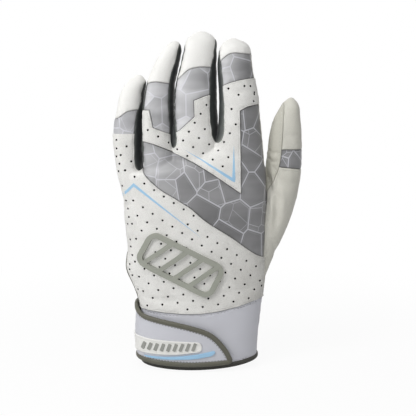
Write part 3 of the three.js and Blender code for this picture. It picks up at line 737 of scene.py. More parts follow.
BACK_OVERLAY = [
    (-0.9, 0.05), (0.9, 0.05), (0.9, 0.3), (0.46, 0.333), (0.246, 0.395), (0.043, 0.452), (-0.033, 0.481),
    (-0.143, 0.511), (-0.274, 0.546), (-0.377, 0.597), (-0.4, 0.7), (-0.9, 0.7)]
BACK_CUFF = [
    (-0.9, -0.1), (0.9, -0.1), (0.9, 0.25), (0.443, 0.207), (0.248, 0.185), (0.044, 0.171), (-0.2, 0.171),
    (-0.9, 0.19)]
PALM_CUFF = [(-0.9, -0.1), (0.9, -0.1), (0.9, 0.23), (0.3, 0.21), (-0.3, 0.19), (-0.9, 0.19)]
THUMB_SIDE = [
    (0.465, 0.2), (0.478, 0.42), (0.492, 0.508), (0.481, 0.6), (0.476, 0.66), (0.5, 0.78), (0.5, 0.85),
    (0.9, 0.85), (0.9, 0.2)]
THUMB_GUSSET = [
    (0.4, 0.5), (0.495, 0.53), (0.571, 0.598), (0.592, 0.667), (0.604, 0.772), (0.62, 0.9), (0.4, 0.9)]
THUMB_BAND = [(0.4, 0.6), (0.571, 0.6), (0.9, 0.582), (0.9, 0.652), (0.4, 0.652)]
THUMB_TOP = [(0.4, 0.652), (0.9, 0.652), (0.9, 0.9), (0.4, 0.9)]
ALL_OVER = [(-0.9, -0.1), (0.9, -0.1), (0.9, 1.15), (-0.9, 1.15)]
BACK_SEAM, TIP_SEAM, PALM_SEAM, THUMB_SEAM = (share * PALM_DEPTH for share in (0.04, 0.1, 0.2, 0.27))
CURL_SEAM, CURL_TOP = 0.3 * PALM_DEPTH, 6
STRIP_HALF, STRIP_TAPER, STRIP_FADE = 0.04, 0.2, 0.11
STRIP_TOPS = {"little_ring": 0.875, "ring_middle": 0.985, "middle_index": 0.99}
BENDS = {"little": 0.699, "ring": 0.7665, "middle": 0.812, "index": 0.7876}
SLIT_WIDTH, SLIT_EDGE = 5.0, 2.2
SLIT_HALF = (SLIT_WIDTH + SLIT_EDGE) / 2
SLIT_CENTRE = 0.14 * PALM_DEPTH
SLIT_TOP = z_of(0.335) - SLIT_WIDTH / 2
SIDE = 90

# %% Cutters for the tips, strips and slit
def above(line, height):
    i = next(k for k, point in enumerate(line) if point[1] > height)
    (x0, z0), (x1, z1) = line[i - 1], line[i]
    return [(x0 + (x1 - x0) * (height - z0) / (z1 - z0), height)] + line[i:]


def straight(shares):
    return [(x_of(x), z_of(z)) for x, z in shares]


def tip_prism(finger):
    """All of a finger above its bend; the middle lines of the gaps are its sides."""
    left, right = (above(line, BENDS[finger]) for line in GAPS[finger])
    return prism(straight(left + right[::-1]), value=BEND)


def tip_cover(finger):
    """The back half of a fingertip. Its seam goes to the palm side as the tip curls, out of sight."""
    rows = FINGERS[finger]
    low, bend, near_top, top = z_of(0.5), z_of(rows[-4][0]), z_of(rows[-2][0]), z_of(rows[-1][0]) + CURL_TOP
    return side_prism([(-OVERRUN, low), (TIP_SEAM, low), (TIP_SEAM, bend), (PALM_SEAM, near_top),
                       (CURL_SEAM, top), (-OVERRUN, top)], -SIDE, SIDE)


def strip_prism(gap, outline, top):
    """The cutter of one strip; its sides draw together towards the shorter fingertip."""
    line = [(above(gap, z)[0][0], z) for z in np.linspace(gap[0][1] + 0.001, gap[-1][1] - 0.001, 40)]
    halves = [STRIP_HALF * min(1, max(STRIP_TAPER, (top - z) / STRIP_FADE)) for x, z in line]
    sides = [(x - half, z) for half, (x, z) in zip(halves, line)]
    sides += [(x + half, z) for half, (x, z) in zip(halves[::-1], line[::-1])]
    front = prism(drawn(outline), far=PALM_SEAM)
    return combined(front, prism(straight(sides), near=BACK_SEAM, far=PALM_SEAM), "UNION")


def slit_arc(count):
    """The round top of the slit in the edge of the wrist, in depth and height, from the palm side."""
    turns = np.linspace(0, math.pi, count)
    return [(SLIT_CENTRE + SLIT_HALF * math.cos(a), SLIT_TOP + SLIT_HALF * math.sin(a)) for a in turns]

# %% Cut the wall into panels
GAPS = {"little": (OUTER_EDGE, LITTLE_RING_GAP), "ring": (LITTLE_RING_GAP, RING_MIDDLE_GAP),
        "middle": (RING_MIDDLE_GAP, MIDDLE_INDEX_GAP), "index": (MIDDLE_INDEX_GAP, INDEX_THUMB_GAP)}
tagged(form, OUTSIDE)
tagged(lining, LINING)
panels = {"palm_leather": combined(form, lining, "DIFFERENCE", "wall")}
cut("hem_offcut", "palm_leather", prism(
    [(-SIDE, -40), (SIDE, -40), (SIDE, HEM_HEIGHT - 1), (-SIDE, HEM_HEIGHT - 1)]))
slit_foot = [(SLIT_CENTRE - SLIT_HALF, -20), (SLIT_CENTRE + SLIT_HALF, -20)]
cut("slit_offcut", "palm_leather", side_prism(slit_foot + slit_arc(17), -SIDE, -20))
discard(panels.pop("hem_offcut"), panels.pop("slit_offcut"))
for gap_name, (gap, outline) in STRIPS.items():
    cut("web_" + gap_name, "palm_leather", strip_prism(gap, outline, STRIP_TOPS[gap_name]))
for finger in ("little", "index"):
    cut(finger + "_front", "palm_leather", tip_prism(finger))
cut("thumb_front", "palm_leather", prism(drawn(THUMB_SIDE)))
cut("knuckle_overlay", "palm_leather", prism(drawn(KNUCKLE_OVERLAY), far=BACK_SEAM))
cut("ring_band", "palm_leather", prism(drawn(RING_BAND), far=TIP_SEAM))
cut("middle_band", "palm_leather", prism(drawn(MIDDLE_BAND), far=TIP_SEAM))
for finger in ("ring", "middle"):
    cut(finger + "_front", "palm_leather", tip_prism(finger))

cut("little_band", "little_front", prism(drawn(LITTLE_BAND), far=TIP_SEAM))
cut("index_panel", "index_front", prism(drawn(INDEX_PANEL), far=TIP_SEAM))
cut("index_band", "index_front", prism(drawn(INDEX_BAND), far=TIP_SEAM))
for finger in FINGERS:
    cut(finger + "_cap", finger + "_front", tip_cover(finger))
cut("thumb_gusset", "thumb_front", prism(drawn(THUMB_GUSSET), far=THUMB_SEAM))
cut("thumb_band", "thumb_front", prism(drawn(THUMB_BAND), far=THUMB_SEAM))
cut("thumb_cap", "thumb_front", prism(straight(THUMB_TOP), far=THUMB_SEAM))
cut("thumb_back", "thumb_front", prism(straight(ALL_OVER), far=THUMB_SEAM))
cut("cuff_back", "palm_leather", prism(drawn(BACK_CUFF), far=BACK_SEAM))
cut("cuff_palm", "palm_leather", prism(drawn(PALM_CUFF), near=BACK_SEAM))
cut("back_overlay", "palm_leather", prism(drawn(BACK_OVERLAY), far=BACK_SEAM))
cut("stretch_back", "palm_leather", prism(straight(ALL_OVER), far=BACK_SEAM))

# %% Cut the strips and clean every panel
# Each strip between two fingers stays whole round the web, and is cut where either finger bends.
for web, outer, outer_finger, inner, inner_finger in (
        ("web_little_ring", "little_side", "little", "ring_side_outer", "ring"),
        ("web_ring_middle", "ring_side_inner", "ring", "middle_side_outer", "middle"),
        ("web_middle_index", "middle_side_inner", "middle", "index_side", "index")):
    cut(outer, web, tip_prism(outer_finger))
    cut(inner, web, tip_prism(inner_finger))
for name, panel in panels.items():
    bodies = trimmed(panel)

# %% [markdown]
# A panel fresh from the cut has edges like sheet metal. Real leather turns down into its seam, so each
# panel gets loops of edges at fixed distances from its seams, and the loops are lowered on a quarter
# circle. An overlay is a second layer, so its whole outside stands proud. The lining keeps its place, and a
# bend keeps its full height. Thread pulls the cloth beside it into small puckers. Each point also keeps its
# distance from the nearest seam, so a finish can gather a little shade there.

# %% Round the edges of the panels
NEAR_SAMPLES = 0.2
GROOVE_HALF, GROOVE_DEPTH = 0.45, 0.22
PUCKER, PUCKER_LENGTH, PUCKER_REACH = 0.5, 3.4, 3.0
ROLL_STEPS = (0.134, 0.5, 1.0)
HOLE_ROLL, HOLE_REACH = 0.14, 0.35
CHAIN_REACH = 1.5
LEVEL_GAP = 0.02
FAR_FROM_SEAM = 9
PANEL_CREASE = math.radians(52)
LINING_SLOT = {LINING: 1, HOLE: 2}
stitch_lines = {}


def rim_points(bm, side, kinds):
    """Close samples along the edges where the outside meets faces of the kinds given."""
    samples = []
    for edge in bm.edges:
        sides = {face[side] for face in edge.link_faces}
        if OUTSIDE in sides and sides & kinds:
            a, b = (vert.co for vert in edge.verts)
            steps = max(1, round((b - a).length / NEAR_SAMPLES))
            samples += [a.lerp(b, k / steps) for k in range(steps + 1)]
    return tree_of(samples) if samples else None


def add_loops(bm, side, tree, reach, steps):
    """Splits the outside along lines at fixed distances from a rim."""
    away = {}
    for vert in bm.verts:
        if any(face[side] == OUTSIDE for face in vert.link_faces):
            away[vert] = tree.find(vert.co)[2]
    loops = {step: [] for step in steps}
    for edge in list(bm.edges):
        a, b = edge.verts
        if a not in away or b not in away or not any(face[side] == OUTSIDE for face in edge.link_faces):
            continue
        if away[a] > away[b]:
            a, b = b, a
        near, far = away[a], away[b]
        start, done = a, 0.0
        for step in steps:
            level = step * reach
            if near + LEVEL_GAP < level < far - LEVEL_GAP:
                share = (level - near) / (far - near)
                _, start = bmesh.utils.edge_split(edge, start, (share - done) / (1 - done))
                done = share
                loops[step].append(start)
    for verts in loops.values():
        if verts:
            bmesh.ops.connect_verts(bm, verts=verts, check_degenerate=False)
    return [vert for verts in loops.values() for vert in verts]


def rolled(distance, roll, reach):
    left = 1 - min(distance / reach, 1)
    return -roll * (1 - math.sqrt(1 - left * left))

# %% Lines of stitches and the dressing of a panel
def chains(points):
    """Lines through scattered points, each made by going on to the next point ahead."""
    tree = tree_of(points)
    left = set(range(len(points)))
    lines = []
    while left:
        line = [left.pop()]
        for forwards in (True, False):
            while True:
                here = points[line[-1 if forwards else 0]]
                near = [i for _, i, _ in tree.find_range(here, CHAIN_REACH) if i in left]
                if len(line) > 1:
                    back = min(2, len(line) - 1)
                    last = points[line[-1 - back if forwards else back]]
                    near = [i for i in near if (points[i] - here).dot(here - last) > -1e-6]
                if not near:
                    break
                step = min(near, key=lambda i: (points[i] - here).length)
                left.discard(step)
                line.insert(len(line) if forwards else 0, step)
        lines.append([points[i] for i in line])
    return lines


def dressed(name, panel, rise, roll, reach, groove=0.0, bulge=0.0):
    """Rounds a panel's edges and raises or lowers its outside along the form's normals. A groove is the dent
    of a line of stitches, at its own distance from the seam; the line is kept for the thread. A bulge swells
    what faces sideways, as the strips between the fingers do."""
    bm = bmesh.new()
    bm.from_mesh(panel.data)
    side = bm.faces.layers.int["side"]
    bmesh.ops.triangulate(bm, faces=[face for face in bm.faces if len(face.verts) > 4])
    seams = rim_points(bm, side, {SEAM})
    holes = rim_points(bm, side, {HOLE})
    if seams:
        add_loops(bm, side, seams, reach, ROLL_STEPS)
    if seams and groove:
        add_loops(bm, side, seams, 1.0, (groove - GROOVE_HALF, groove + GROOVE_HALF))
        middle = add_loops(bm, side, seams, 1.0, (groove,))
        stitch_lines[name] = chains([vert.co.copy() for vert in middle])
    if holes:
        add_loops(bm, side, holes, HOLE_REACH, (1.0,))
    seam = bm.verts.layers.float.new("seam")
    for vert in bm.verts:
        if not any(face[side] == OUTSIDE for face in vert.link_faces):
            continue
        height = rise
        away = seams.find(vert.co)[2] if seams else FAR_FROM_SEAM
        vert[seam] = min(away, FAR_FROM_SEAM)
        if seams:
            height += rolled(away, roll, reach)
            height += PUCKER * noise.noise(vert.co / PUCKER_LENGTH) * math.exp(-away / PUCKER_REACH)
            if groove:
                height -= GROOVE_DEPTH * max(0, 1 - abs(away - groove) / GROOVE_HALF)
        if holes:
            height += rolled(holes.find(vert.co)[2], HOLE_ROLL, HOLE_REACH)
        normal = outward(vert.co)
        vert.co += normal * (height + bulge * normal.x**2)
    for face in bm.faces:
        face.smooth = True
        face.material_index = LINING_SLOT.get(face[side], 0)
    bm.to_mesh(panel.data)
    bm.free()
    panel.data.set_sharp_from_angle(angle=PANEL_CREASE)

# %% [markdown]
# The holes of the perforated leather lie on one slanting grid with rows 7 mm apart. Each is a blind pit of
# its own, punched square to the surface, and none is punched through a seam, because the cutter leaves an
# edge.

# %% Perforations
HOLE_RADIUS, HOLE_DEPTH, HOLE_SIDES = 0.72, 0.8, 10
HOLE_ABOVE = 0.5
ROW_ANGLE = math.radians(-33)
HOLE_PITCH, ROW_PITCH = 7.7, 6.9
GRID = range(-40, 41)
HOLE_MARGIN, KEEP_OFF_MARGIN = 2.0, 1.2
HOLE_FACING = -0.64


def back_hit(x, z):
    """Where the back of the hand lies behind a point of the front view, and which way it faces."""
    place, _, _, _ = form_surface.ray_cast(Vector((x, -80, z)), Vector((0, 1, 0)))
    if place is None:
        place = form_surface.find_nearest(Vector((x, -12, z)))[0]
    return place, outward(place)


def inside(point, outline):
    x, z = point
    odd = False
    for (x0, z0), (x1, z1) in zip(outline, outline[1:] + outline[:1]):
        if (z0 > z) != (z1 > z) and x < x0 + (x1 - x0) * (z - z0) / (z1 - z0):
            odd = not odd
    return odd


def from_edge(point, outline):
    best = 1e9
    at = Vector(point)
    for a, b in zip(outline, outline[1:] + outline[:1]):
        a, b = Vector(a), Vector(b)
        run = b - a
        share = min(max((at - a).dot(run) / max(run.length_squared, 1e-9), 0), 1)
        best = min(best, (at - a - share * run).length)
    return best


def punched(name, outline, shift):
    """Punches the grid of pits through a panel, where its outline and the pieces sewn over it leave room."""
    along = Vector((math.cos(ROW_ANGLE), math.sin(ROW_ANGLE)))
    across = Vector((-along.y, along.x))
    pins = bmesh.new()
    count = 0
    for row in GRID:
        for column in GRID:
            at = Vector(shift) + along * HOLE_PITCH * column + across * ROW_PITCH * row
            if not inside(at, outline) or from_edge(at, outline) < HOLE_MARGIN:
                continue
            if any(from_edge(at, other) < KEEP_OFF_MARGIN or inside(at, other) for other in keep_off):
                continue
            place, normal = back_hit(at.x, at.y)
            if normal.y > HOLE_FACING:
                continue
            turn = normal.to_track_quat("Z", "Y").to_matrix().to_4x4()
            matrix = Matrix.Translation(place - normal * (HOLE_DEPTH / 2 - HOLE_ABOVE)) @ turn
            bmesh.ops.create_cone(
                pins, cap_ends=True, segments=HOLE_SIDES, radius1=HOLE_RADIUS, radius2=HOLE_RADIUS,
                depth=HOLE_DEPTH + 2 * HOLE_ABOVE, matrix=matrix)
            count += 1
    panels[name] = combined(panels[name], tagged(new_object("pins", pins), HOLE), "DIFFERENCE", name)
    print(name, count, "holes")


KNUCKLE_STRIPE = [
    (-0.077, 0.6535), (0.245, 0.563), (0.262, 0.5605), (0.2645, 0.57), (0.256, 0.667), (0.243, 0.574)]
BACK_STRIPE = [(-0.505, 0.5265), (-0.43, 0.557), (0.032, 0.399), (-0.4295, 0.547), (-0.505, 0.517)]
keep_off = [drawn(outline) for _, outline in STRIPS.values()]
keep_off += [straight(KNUCKLE_STRIPE), straight(BACK_STRIPE)]
index_bend = BENDS["index"]
below_bend = KNUCKLE_OVERLAY[:5] + [(0.6, index_bend), (0.153, index_bend)] + KNUCKLE_OVERLAY[7:]
punched("knuckle_overlay", drawn(below_bend), (0.5, 139.6))
above_cuff = BACK_OVERLAY[2:] + [(-0.9, 0.171)] + BACK_CUFF[6:2:-1]
punched("back_overlay", drawn(above_cuff), (-13.2, 87.4))
punched("index_panel", drawn([(0.05, index_bend), (0.6, index_bend)] + INDEX_PANEL[2:]), (27.5, 183.4))

# %% Dress every panel
OVERLAY_RISE, LEATHER_RISE, CLOTH_RISE, STRIP_RISE = 0.7, 0.12, -0.05, -0.45
STITCHED_LEATHER = {"rise": LEATHER_RISE, "roll": 0.5, "reach": 1.1, "groove": 1.7}
KNIT = {"rise": CLOTH_RISE, "roll": 0.45, "reach": 0.8, "groove": 1.5}
OVERLAY = {"rise": OVERLAY_RISE, "roll": 0.5, "reach": 0.55, "groove": 1.1}
STRETCH = {"rise": CLOTH_RISE, "roll": 0.5, "reach": 0.7}
STRIP = {"rise": STRIP_RISE, "roll": 0.25, "reach": 0.8, "bulge": 0.75}
PLAIN = {"rise": LEATHER_RISE, "roll": 0.5, "reach": 1.1}
dress = {name: PLAIN for name in panels}
dress.update({name: STRETCH for name in panels if "band" in name or name == "stretch_back"})
dress.update({name: STRIP for name in panels if name.startswith("web_") or "_side" in name})
dress.update({"knuckle_overlay": OVERLAY, "back_overlay": OVERLAY, "index_panel": OVERLAY, "cuff_back": KNIT,
              "cuff_palm": KNIT, "thumb_back": STITCHED_LEATHER, "thumb_gusset": STITCHED_LEATHER})
for name, panel in panels.items():
    dressed(name, panel, **dress[name])
print("panels dressed:", len(panels))

# %% [markdown]
# Lockstitch shows as a row of short threads, each sunk at both ends. One stitch is a small capsule, and
# copies of it follow the grooves that the seams were given.

# %% Lines and stitches
STITCH_PITCH, STITCH_LENGTH, STITCH_RADIUS, STITCH_SINK = 2.3, 1.6, 0.17, 0.05
THREAD_EASE = 4
LINE_STEP = 1.2


def lengths_along(points):
    steps = [(b - a).length for a, b in zip(points[:-1], points[1:])]
    return np.concatenate([[0], np.cumsum(steps)])


def point_along(points, lengths, at):
    """The point before a length along a line, and the place there."""
    i = min(int(np.searchsorted(lengths, at, side="right")) - 1, len(points) - 2)
    span = max(lengths[i + 1] - lengths[i], 1e-9)
    return i, points[i].lerp(points[i + 1], (at - lengths[i]) / span)


def evenly(points, step, closed=False):
    """The same line with points at even steps along it."""
    knots = [Vector(p) for p in points] + ([Vector(points[0])] if closed else [])
    lengths = lengths_along(knots)
    count = max(2, round(lengths[-1] / step))
    steps = range(count if closed else count + 1)
    return [point_along(knots, lengths, lengths[-1] * k / count)[1] for k in steps]


def relaxed(points, rounds, closed=False):
    """Corners eased by averaging each point with its neighbours."""
    for _ in range(rounds):
        last = len(points) - 1
        points = [p if not closed and i in (0, last) else
                  (points[i - 1] + 2 * p + points[(i + 1) % len(points)]) / 4 for i, p in enumerate(points)]
    return points


def stitches(name, runs, pitch=STITCH_PITCH, length=STITCH_LENGTH, radius=STITCH_RADIUS, sink=STITCH_SINK):
    """A row of threads along each run; a run is a list of (place, outwards) pairs."""
    bm = bmesh.new()
    count = 0
    for run in runs:
        places = relaxed([Vector(place) for place, _ in run], THREAD_EASE)
        lengths = lengths_along(places)
        if lengths[-1] < 3 * pitch:
            continue
        for k in range(int(lengths[-1] / pitch)):
            i, place = point_along(places, lengths, (k + 0.5) * pitch)
            ahead = places[min(i + 3, len(places) - 1)] - places[max(i - 2, 0)]
            out = Vector(run[i][1]).normalized()
            along = (ahead - out * ahead.dot(out)).normalized()
            turn = Matrix((along, out.cross(along), out)).transposed().to_4x4()
            size = Matrix.Diagonal((length / 2, radius * 1.25, radius, 1))
            matrix = Matrix.Translation(place - out * sink) @ turn @ size
            bmesh.ops.create_icosphere(bm, subdivisions=1, radius=1, matrix=matrix)
            count += 1
    for face in bm.faces:
        face.smooth = True
    print(name, count, "stitches")
    return new_object(name, bm)


threads = {}
for name, lines in stitch_lines.items():
    lift = dress[name]["rise"] - GROOVE_DEPTH
    runs = [[(place + outward(place) * lift, outward(place)) for place in line] for line in lines]
    threads[name] = stitches(name + "_thread", runs)

# %% [markdown]
# The strap, its badge, the patches, the pad and the stripes are all made flat, as they are before they are
# sewn on, and are then wrapped over the surface: a flat solid has a place across, a place up and a height,
# and a wrap turns the three into a point on the glove. The wrist's wrap measures its way round the cuff
# from the middle of the back, so the strap can run round the little finger's edge to its root on the palm
# side.

# %% Wraps
WRIST_CENTRE = (1.5, 0.0)
WRIST_FOOT, WRIST_TOP = -6, 62.0
WRIST_TURNS, WRIST_ROWS, STRAP_ROW = 241, 35, 13
OUT_OF_REACH = 90
TURN_STEP = 0.05
STRAP_HEIGHT = 20


def wrist_table():
    """Radius of the cuff at each turn and height, and the way round it at mid strap."""
    turns = np.linspace(0, 2 * math.pi, WRIST_TURNS)
    heights = np.linspace(WRIST_FOOT, WRIST_TOP, WRIST_ROWS)
    radius = np.zeros((len(turns), len(heights)))
    for j, height in enumerate(heights):
        for i, turn in enumerate(turns):
            start = Vector((*WRIST_CENTRE, height))
            heading = Vector((math.cos(turn), math.sin(turn), 0))
            place, _, _, _ = form_surface.ray_cast(start + heading * OUT_OF_REACH, -heading)
            radius[i, j] = (place - start).length if place else radius[i, j - 1]
    middle = radius[:, STRAP_ROW]
    ring = np.stack([middle * np.cos(turns), middle * np.sin(turns)], axis=1)
    way = np.concatenate([[0], np.cumsum(np.linalg.norm(np.diff(ring, axis=0), axis=1))])
    return turns, heights, radius, way


TURNS, HEIGHTS, RADIUS, WAY = wrist_table()
FRONT_TURN = 1.5 * math.pi
FRONT_WAY = float(np.interp(FRONT_TURN, TURNS, WAY))
GIRTH = float(WAY[-1])
print("girth of the cuff, mm:", round(GIRTH, 1))


def cuff_radius(turn, height):
    turn %= 2 * math.pi
    up = (height - HEIGHTS[0]) / (HEIGHTS[1] - HEIGHTS[0])
    i = min(int(turn / TURNS[1]), len(TURNS) - 2)
    j = min(max(int(up), 0), len(HEIGHTS) - 2)
    s = (turn - TURNS[i]) / TURNS[1]
    t = min(max((height - HEIGHTS[j]) / (HEIGHTS[1] - HEIGHTS[0]), 0), 1)
    low, high = (RADIUS[i, k] * (1 - s) + RADIUS[i + 1, k] * s for k in (j, j + 1))
    return low * (1 - t) + high * t


def round_wrist(way, height, lift):
    """A point on the cuff: mm round from the middle of the back, towards the thumb, its height and lift."""
    turn = float(np.interp((way + FRONT_WAY) % GIRTH, WAY, TURNS))
    ring = []
    for step in (-TURN_STEP, 0, TURN_STEP):
        r = cuff_radius(turn + step, height)
        ring.append(Vector((WRIST_CENTRE[0] + r * math.cos(turn + step), r * math.sin(turn + step))))
    along = (ring[2] - ring[0]).normalized()
    return Vector((ring[1].x + along.y * lift, ring[1].y - along.x * lift, height))


def over_back(x, z, lift):
    place, normal = back_hit(x, z)
    return place + normal * lift


def little_edge(y, z, lift):
    """A point on the little finger's edge of the glove: depth, height and how far it stands out."""
    place, _, _, _ = form_surface.ray_cast(Vector((-OUT_OF_REACH, y, z)), Vector((1, 0, 0)))
    return place + outward(place) * lift


def way_at(x):
    """How far round the cuff a point of the front view lies."""
    ways = np.linspace(-75, 60, 271)
    ring = [round_wrist(way, STRAP_HEIGHT, 0) for way in ways]
    front = np.array([point.y for point in ring]) < 1
    return float(np.interp(x, np.array([point.x for point in ring])[front], ways[front]))

# %% Flat pieces
PIECE_CREASE, BINDING_CREASE = math.radians(40), math.radians(50)
BEVEL_ANGLE = 0.8
raised = {}


def flat_solid(name, outline, thickness, bevel=0.0, holes=(), adds=()):
    """A flat piece, with its outline in millimetres and its height along Z. Holes and adds are outlines."""
    def slab(points, low, high):
        return extruded(name, [(u, v, low) for u, v in points], (0, 0, high - low))

    solid = slab(outline, 0, thickness)
    for hole in holes:
        solid = combined(solid, slab(hole, -1, thickness + 1), "DIFFERENCE", name)
    for add in adds:
        solid = combined(solid, slab(add, 0, thickness), "UNION", name)
    if bevel:
        bm = bmesh.new()
        bm.from_mesh(solid.data)
        bmesh.ops.remove_doubles(bm, verts=bm.verts, dist=0.01)
        bmesh.ops.dissolve_limit(bm, angle_limit=0.01, verts=bm.verts, edges=bm.edges)
        top = [edge for edge in bm.edges if all(vert.co.z > thickness - 0.01 for vert in edge.verts)
               and len(edge.link_faces) == 2 and edge.calc_face_angle(0) > BEVEL_ANGLE]
        bmesh.ops.bevel(bm, geom=top, offset=bevel, offset_type="OFFSET", segments=3, profile=0.5,
                        affect="EDGES", material=-1, clamp_overlap=True)
        bm.to_mesh(solid.data)
        bm.free()
    return solid


def wrapped(solid, wrap, lift=0.0, step=1.6):
    """Cuts a flat solid finely enough to bend, then wraps it over the surface."""
    bm = bmesh.new()
    bm.from_mesh(solid.data)
    bmesh.ops.triangulate(bm, faces=[face for face in bm.faces if len(face.verts) > 4])
    for axis in (0, 1):
        values = [vert.co[axis] for vert in bm.verts]
        low, high = min(values), max(values)
        heading = Vector((1 - axis, axis, 0))
        for k in range(1, int((high - low) / step) + 1):
            bmesh.ops.bisect_plane(bm, geom=bm.verts[:] + bm.edges[:] + bm.faces[:], dist=1e-4,
                                   plane_co=heading * (low + k * step), plane_no=heading)
    for vert in bm.verts:
        vert.co = wrap(vert.co.x, vert.co.y, vert.co.z + lift)
    bmesh.ops.recalc_face_normals(bm, faces=bm.faces)
    if bm.calc_volume(signed=True) < 0:
        bmesh.ops.reverse_faces(bm, faces=bm.faces)
    for face in bm.faces:
        face.smooth = True
    bm.to_mesh(solid.data)
    bm.free()
    solid.data.set_sharp_from_angle(angle=PIECE_CREASE)
    return solid


def sewn_on(name, outline, thickness, lift, step=2.0, bevel=0.0, wrap=round_wrist, holes=(), adds=()):
    """A flat piece in its place on the glove."""
    raised[name] = wrapped(flat_solid(name, outline, thickness, bevel, holes, adds), wrap, lift, step)


def round_rectangle(length, width, corner, turn_degrees, centre, steps=6):
    points = []
    turn = math.radians(turn_degrees)
    for side in range(4):
        across = (1 if side in (0, 3) else -1) * (length / 2 - corner)
        up = (1 if side < 2 else -1) * (width / 2 - corner)
        for k in range(steps + 1):
            angle = math.pi / 2 * (side + k / steps)
            u, v = across + corner * math.cos(angle), up + corner * math.sin(angle)
            points.append((centre[0] + u * math.cos(turn) - v * math.sin(turn),
                           centre[1] + u * math.sin(turn) + v * math.cos(turn)))
    return points

# %% [markdown]
# A binding is a strip of tape folded over an edge: seen from outside it is a rounded ridge. It is swept
# along its edge as a ring of points that is turned to the surface at every step.

# %% Sweeps
TAPE_POINTS, TAPE_SQUARENESS = 14, 2.6


def swept(name, path, outwards, profile, closed=False):
    """A profile carried along a path; each profile point is (across the path, out of the surface)."""
    count = len(path)
    bm = bmesh.new()
    rows = count + 1 if closed else count
    bmesh.ops.create_grid(bm, x_segments=len(profile), y_segments=rows - 1, size=1)
    bm.verts.ensure_lookup_table()
    for i in range(rows):
        here = path[i % count]
        before = path[(i - 1) % count] if closed or i > 0 else here
        after = path[(i + 1) % count] if closed or i < count - 1 else here
        along = (after - before).normalized()
        out = outwards[i % count].normalized()
        across = along.cross(out).normalized()
        out = across.cross(along).normalized()
        for k in range(len(profile) + 1):
            u, v = profile[k % len(profile)]
            bm.verts[i * (len(profile) + 1) + k].co = here + across * u + out * v
    bmesh.ops.remove_doubles(bm, verts=bm.verts, dist=1e-4)
    ends = [edge for edge in bm.edges if edge.is_boundary]
    if ends:
        bmesh.ops.holes_fill(bm, edges=ends, sides=0)
    bmesh.ops.recalc_face_normals(bm, faces=bm.faces)
    for face in bm.faces:
        face.smooth = True
    obj = new_object(name, bm)
    obj.data.set_sharp_from_angle(angle=BINDING_CREASE)
    return obj


def rounded_profile(half_width, low, high):
    turns = [2 * math.pi * k / TAPE_POINTS for k in range(TAPE_POINTS)]
    return [(half_width * rounded(math.cos(a), TAPE_SQUARENESS),
             (low + high) / 2 + (high - low) / 2 * rounded(math.sin(a), TAPE_SQUARENESS)) for a in turns]


def laid(wrap, line, lift=0.0):
    """The places of a flat line on the glove, and the way out of it at each."""
    return [wrap(p.x, p.y, lift) for p in line], [wrap(p.x, p.y, 1.0) - wrap(p.x, p.y, 0.0) for p in line]


def binding_along(name, wrap, line, profile, closed=False, lift=0.0, ease=3):
    flat = relaxed(evenly(line, LINE_STEP, closed), ease, closed)
    raised[name] = swept(name, *laid(wrap, flat, lift), profile, closed)
    return flat


def inset_line(line, distance):
    """A closed flat line moved to its inner side."""
    count = len(line)
    following = line[1:] + line[:1]
    area = sum(a.x * b.y - b.x * a.y for a, b in zip(line, following))
    way = 1 if area > 0 else -1
    moved = []
    for i, p in enumerate(line):
        along = (line[(i + 1) % count] - line[i - 1]).normalized()
        moved.append(p + Vector((-along.y, along.x)) * distance * way)
    return moved

# %% Hem and slit bindings
BINDING_LOW, HEM_RAISE = -LEATHER - 0.9, 0.95
HEM_KNOTS = 90
SLIT_PROFILE = rounded_profile(1.8, -1.5, 1.3)
hem_knots = [(GIRTH * k / HEM_KNOTS, HEM_HEIGHT / 2) for k in range(HEM_KNOTS + 1)]
hem_profile = rounded_profile(HEM_HEIGHT / 2 + 0.1, BINDING_LOW, HEM_RAISE)
raised["hem_binding"] = swept(
    "hem_binding", *laid(round_wrist, evenly(hem_knots, LINE_STEP)[:-1]), hem_profile, closed=True)
slit_line = [(SLIT_CENTRE - SLIT_HALF, HEM_HEIGHT + 0.5), *slit_arc(13)[::-1],
             (SLIT_CENTRE + SLIT_HALF, HEM_HEIGHT + 0.5)]
binding_along("slit_binding", little_edge, slit_line, SLIT_PROFILE, ease=2)
print("bindings:", *raised)

# %% Strap
STRAP_FOOT, STRAP_LIFT, STRAP_THICKNESS = 4.8, 2.0, 1.4
ROOT_WAY = -78.0
STRAP_TOP = [
    (-0.37, 0.157), (-0.27, 0.149), (-0.1625, 0.1416), (-0.05, 0.1315), (0.044, 0.1195), (0.1, 0.1065),
    (0.14, 0.09), (0.172, 0.0705), (0.199, 0.0513), (0.218, 0.03), (0.231, STRAP_FOOT / GLOVE_LENGTH)]
STRAP_PROFILE = rounded_profile(1.7, -0.35, STRAP_THICKNESS + 0.85)
THREAD_INSET, THREAD_GAP = 1.95, 12
strap_top = [(ROOT_WAY, 45.0), (-72, 45.5), (-64, 44.5), (way_at(-38) - 7, 41.5)]
strap_top += [(way_at(x), z) for x, z in straight(STRAP_TOP)]
strap_outline = strap_top + [(ROOT_WAY, STRAP_FOOT)]
strap_end = strap_top[-1][0]
print("strap runs", round(strap_end - ROOT_WAY, 1), "mm round the cuff")


def eased_outline(outline, step=LINE_STEP, rounds=3):
    return relaxed(evenly(outline, step, True), rounds, True)


sewn_on("strap_web", eased_outline(strap_outline), STRAP_THICKNESS, STRAP_LIFT)
strap_edge = binding_along("strap_binding", round_wrist, strap_outline, STRAP_PROFILE, True, STRAP_LIFT)
strap_inner = [p for p in inset_line(strap_edge, THREAD_INSET)
               if p.y > STRAP_FOOT + 1 or p.x < strap_end - THREAD_GAP]
threads["strap_binding"] = stitches(
    "strap_binding_thread", [list(zip(*laid(round_wrist, strap_inner, STRAP_LIFT + STRAP_THICKNESS)))],
    pitch=2.1, length=1.6, radius=0.24, sink=0.0)

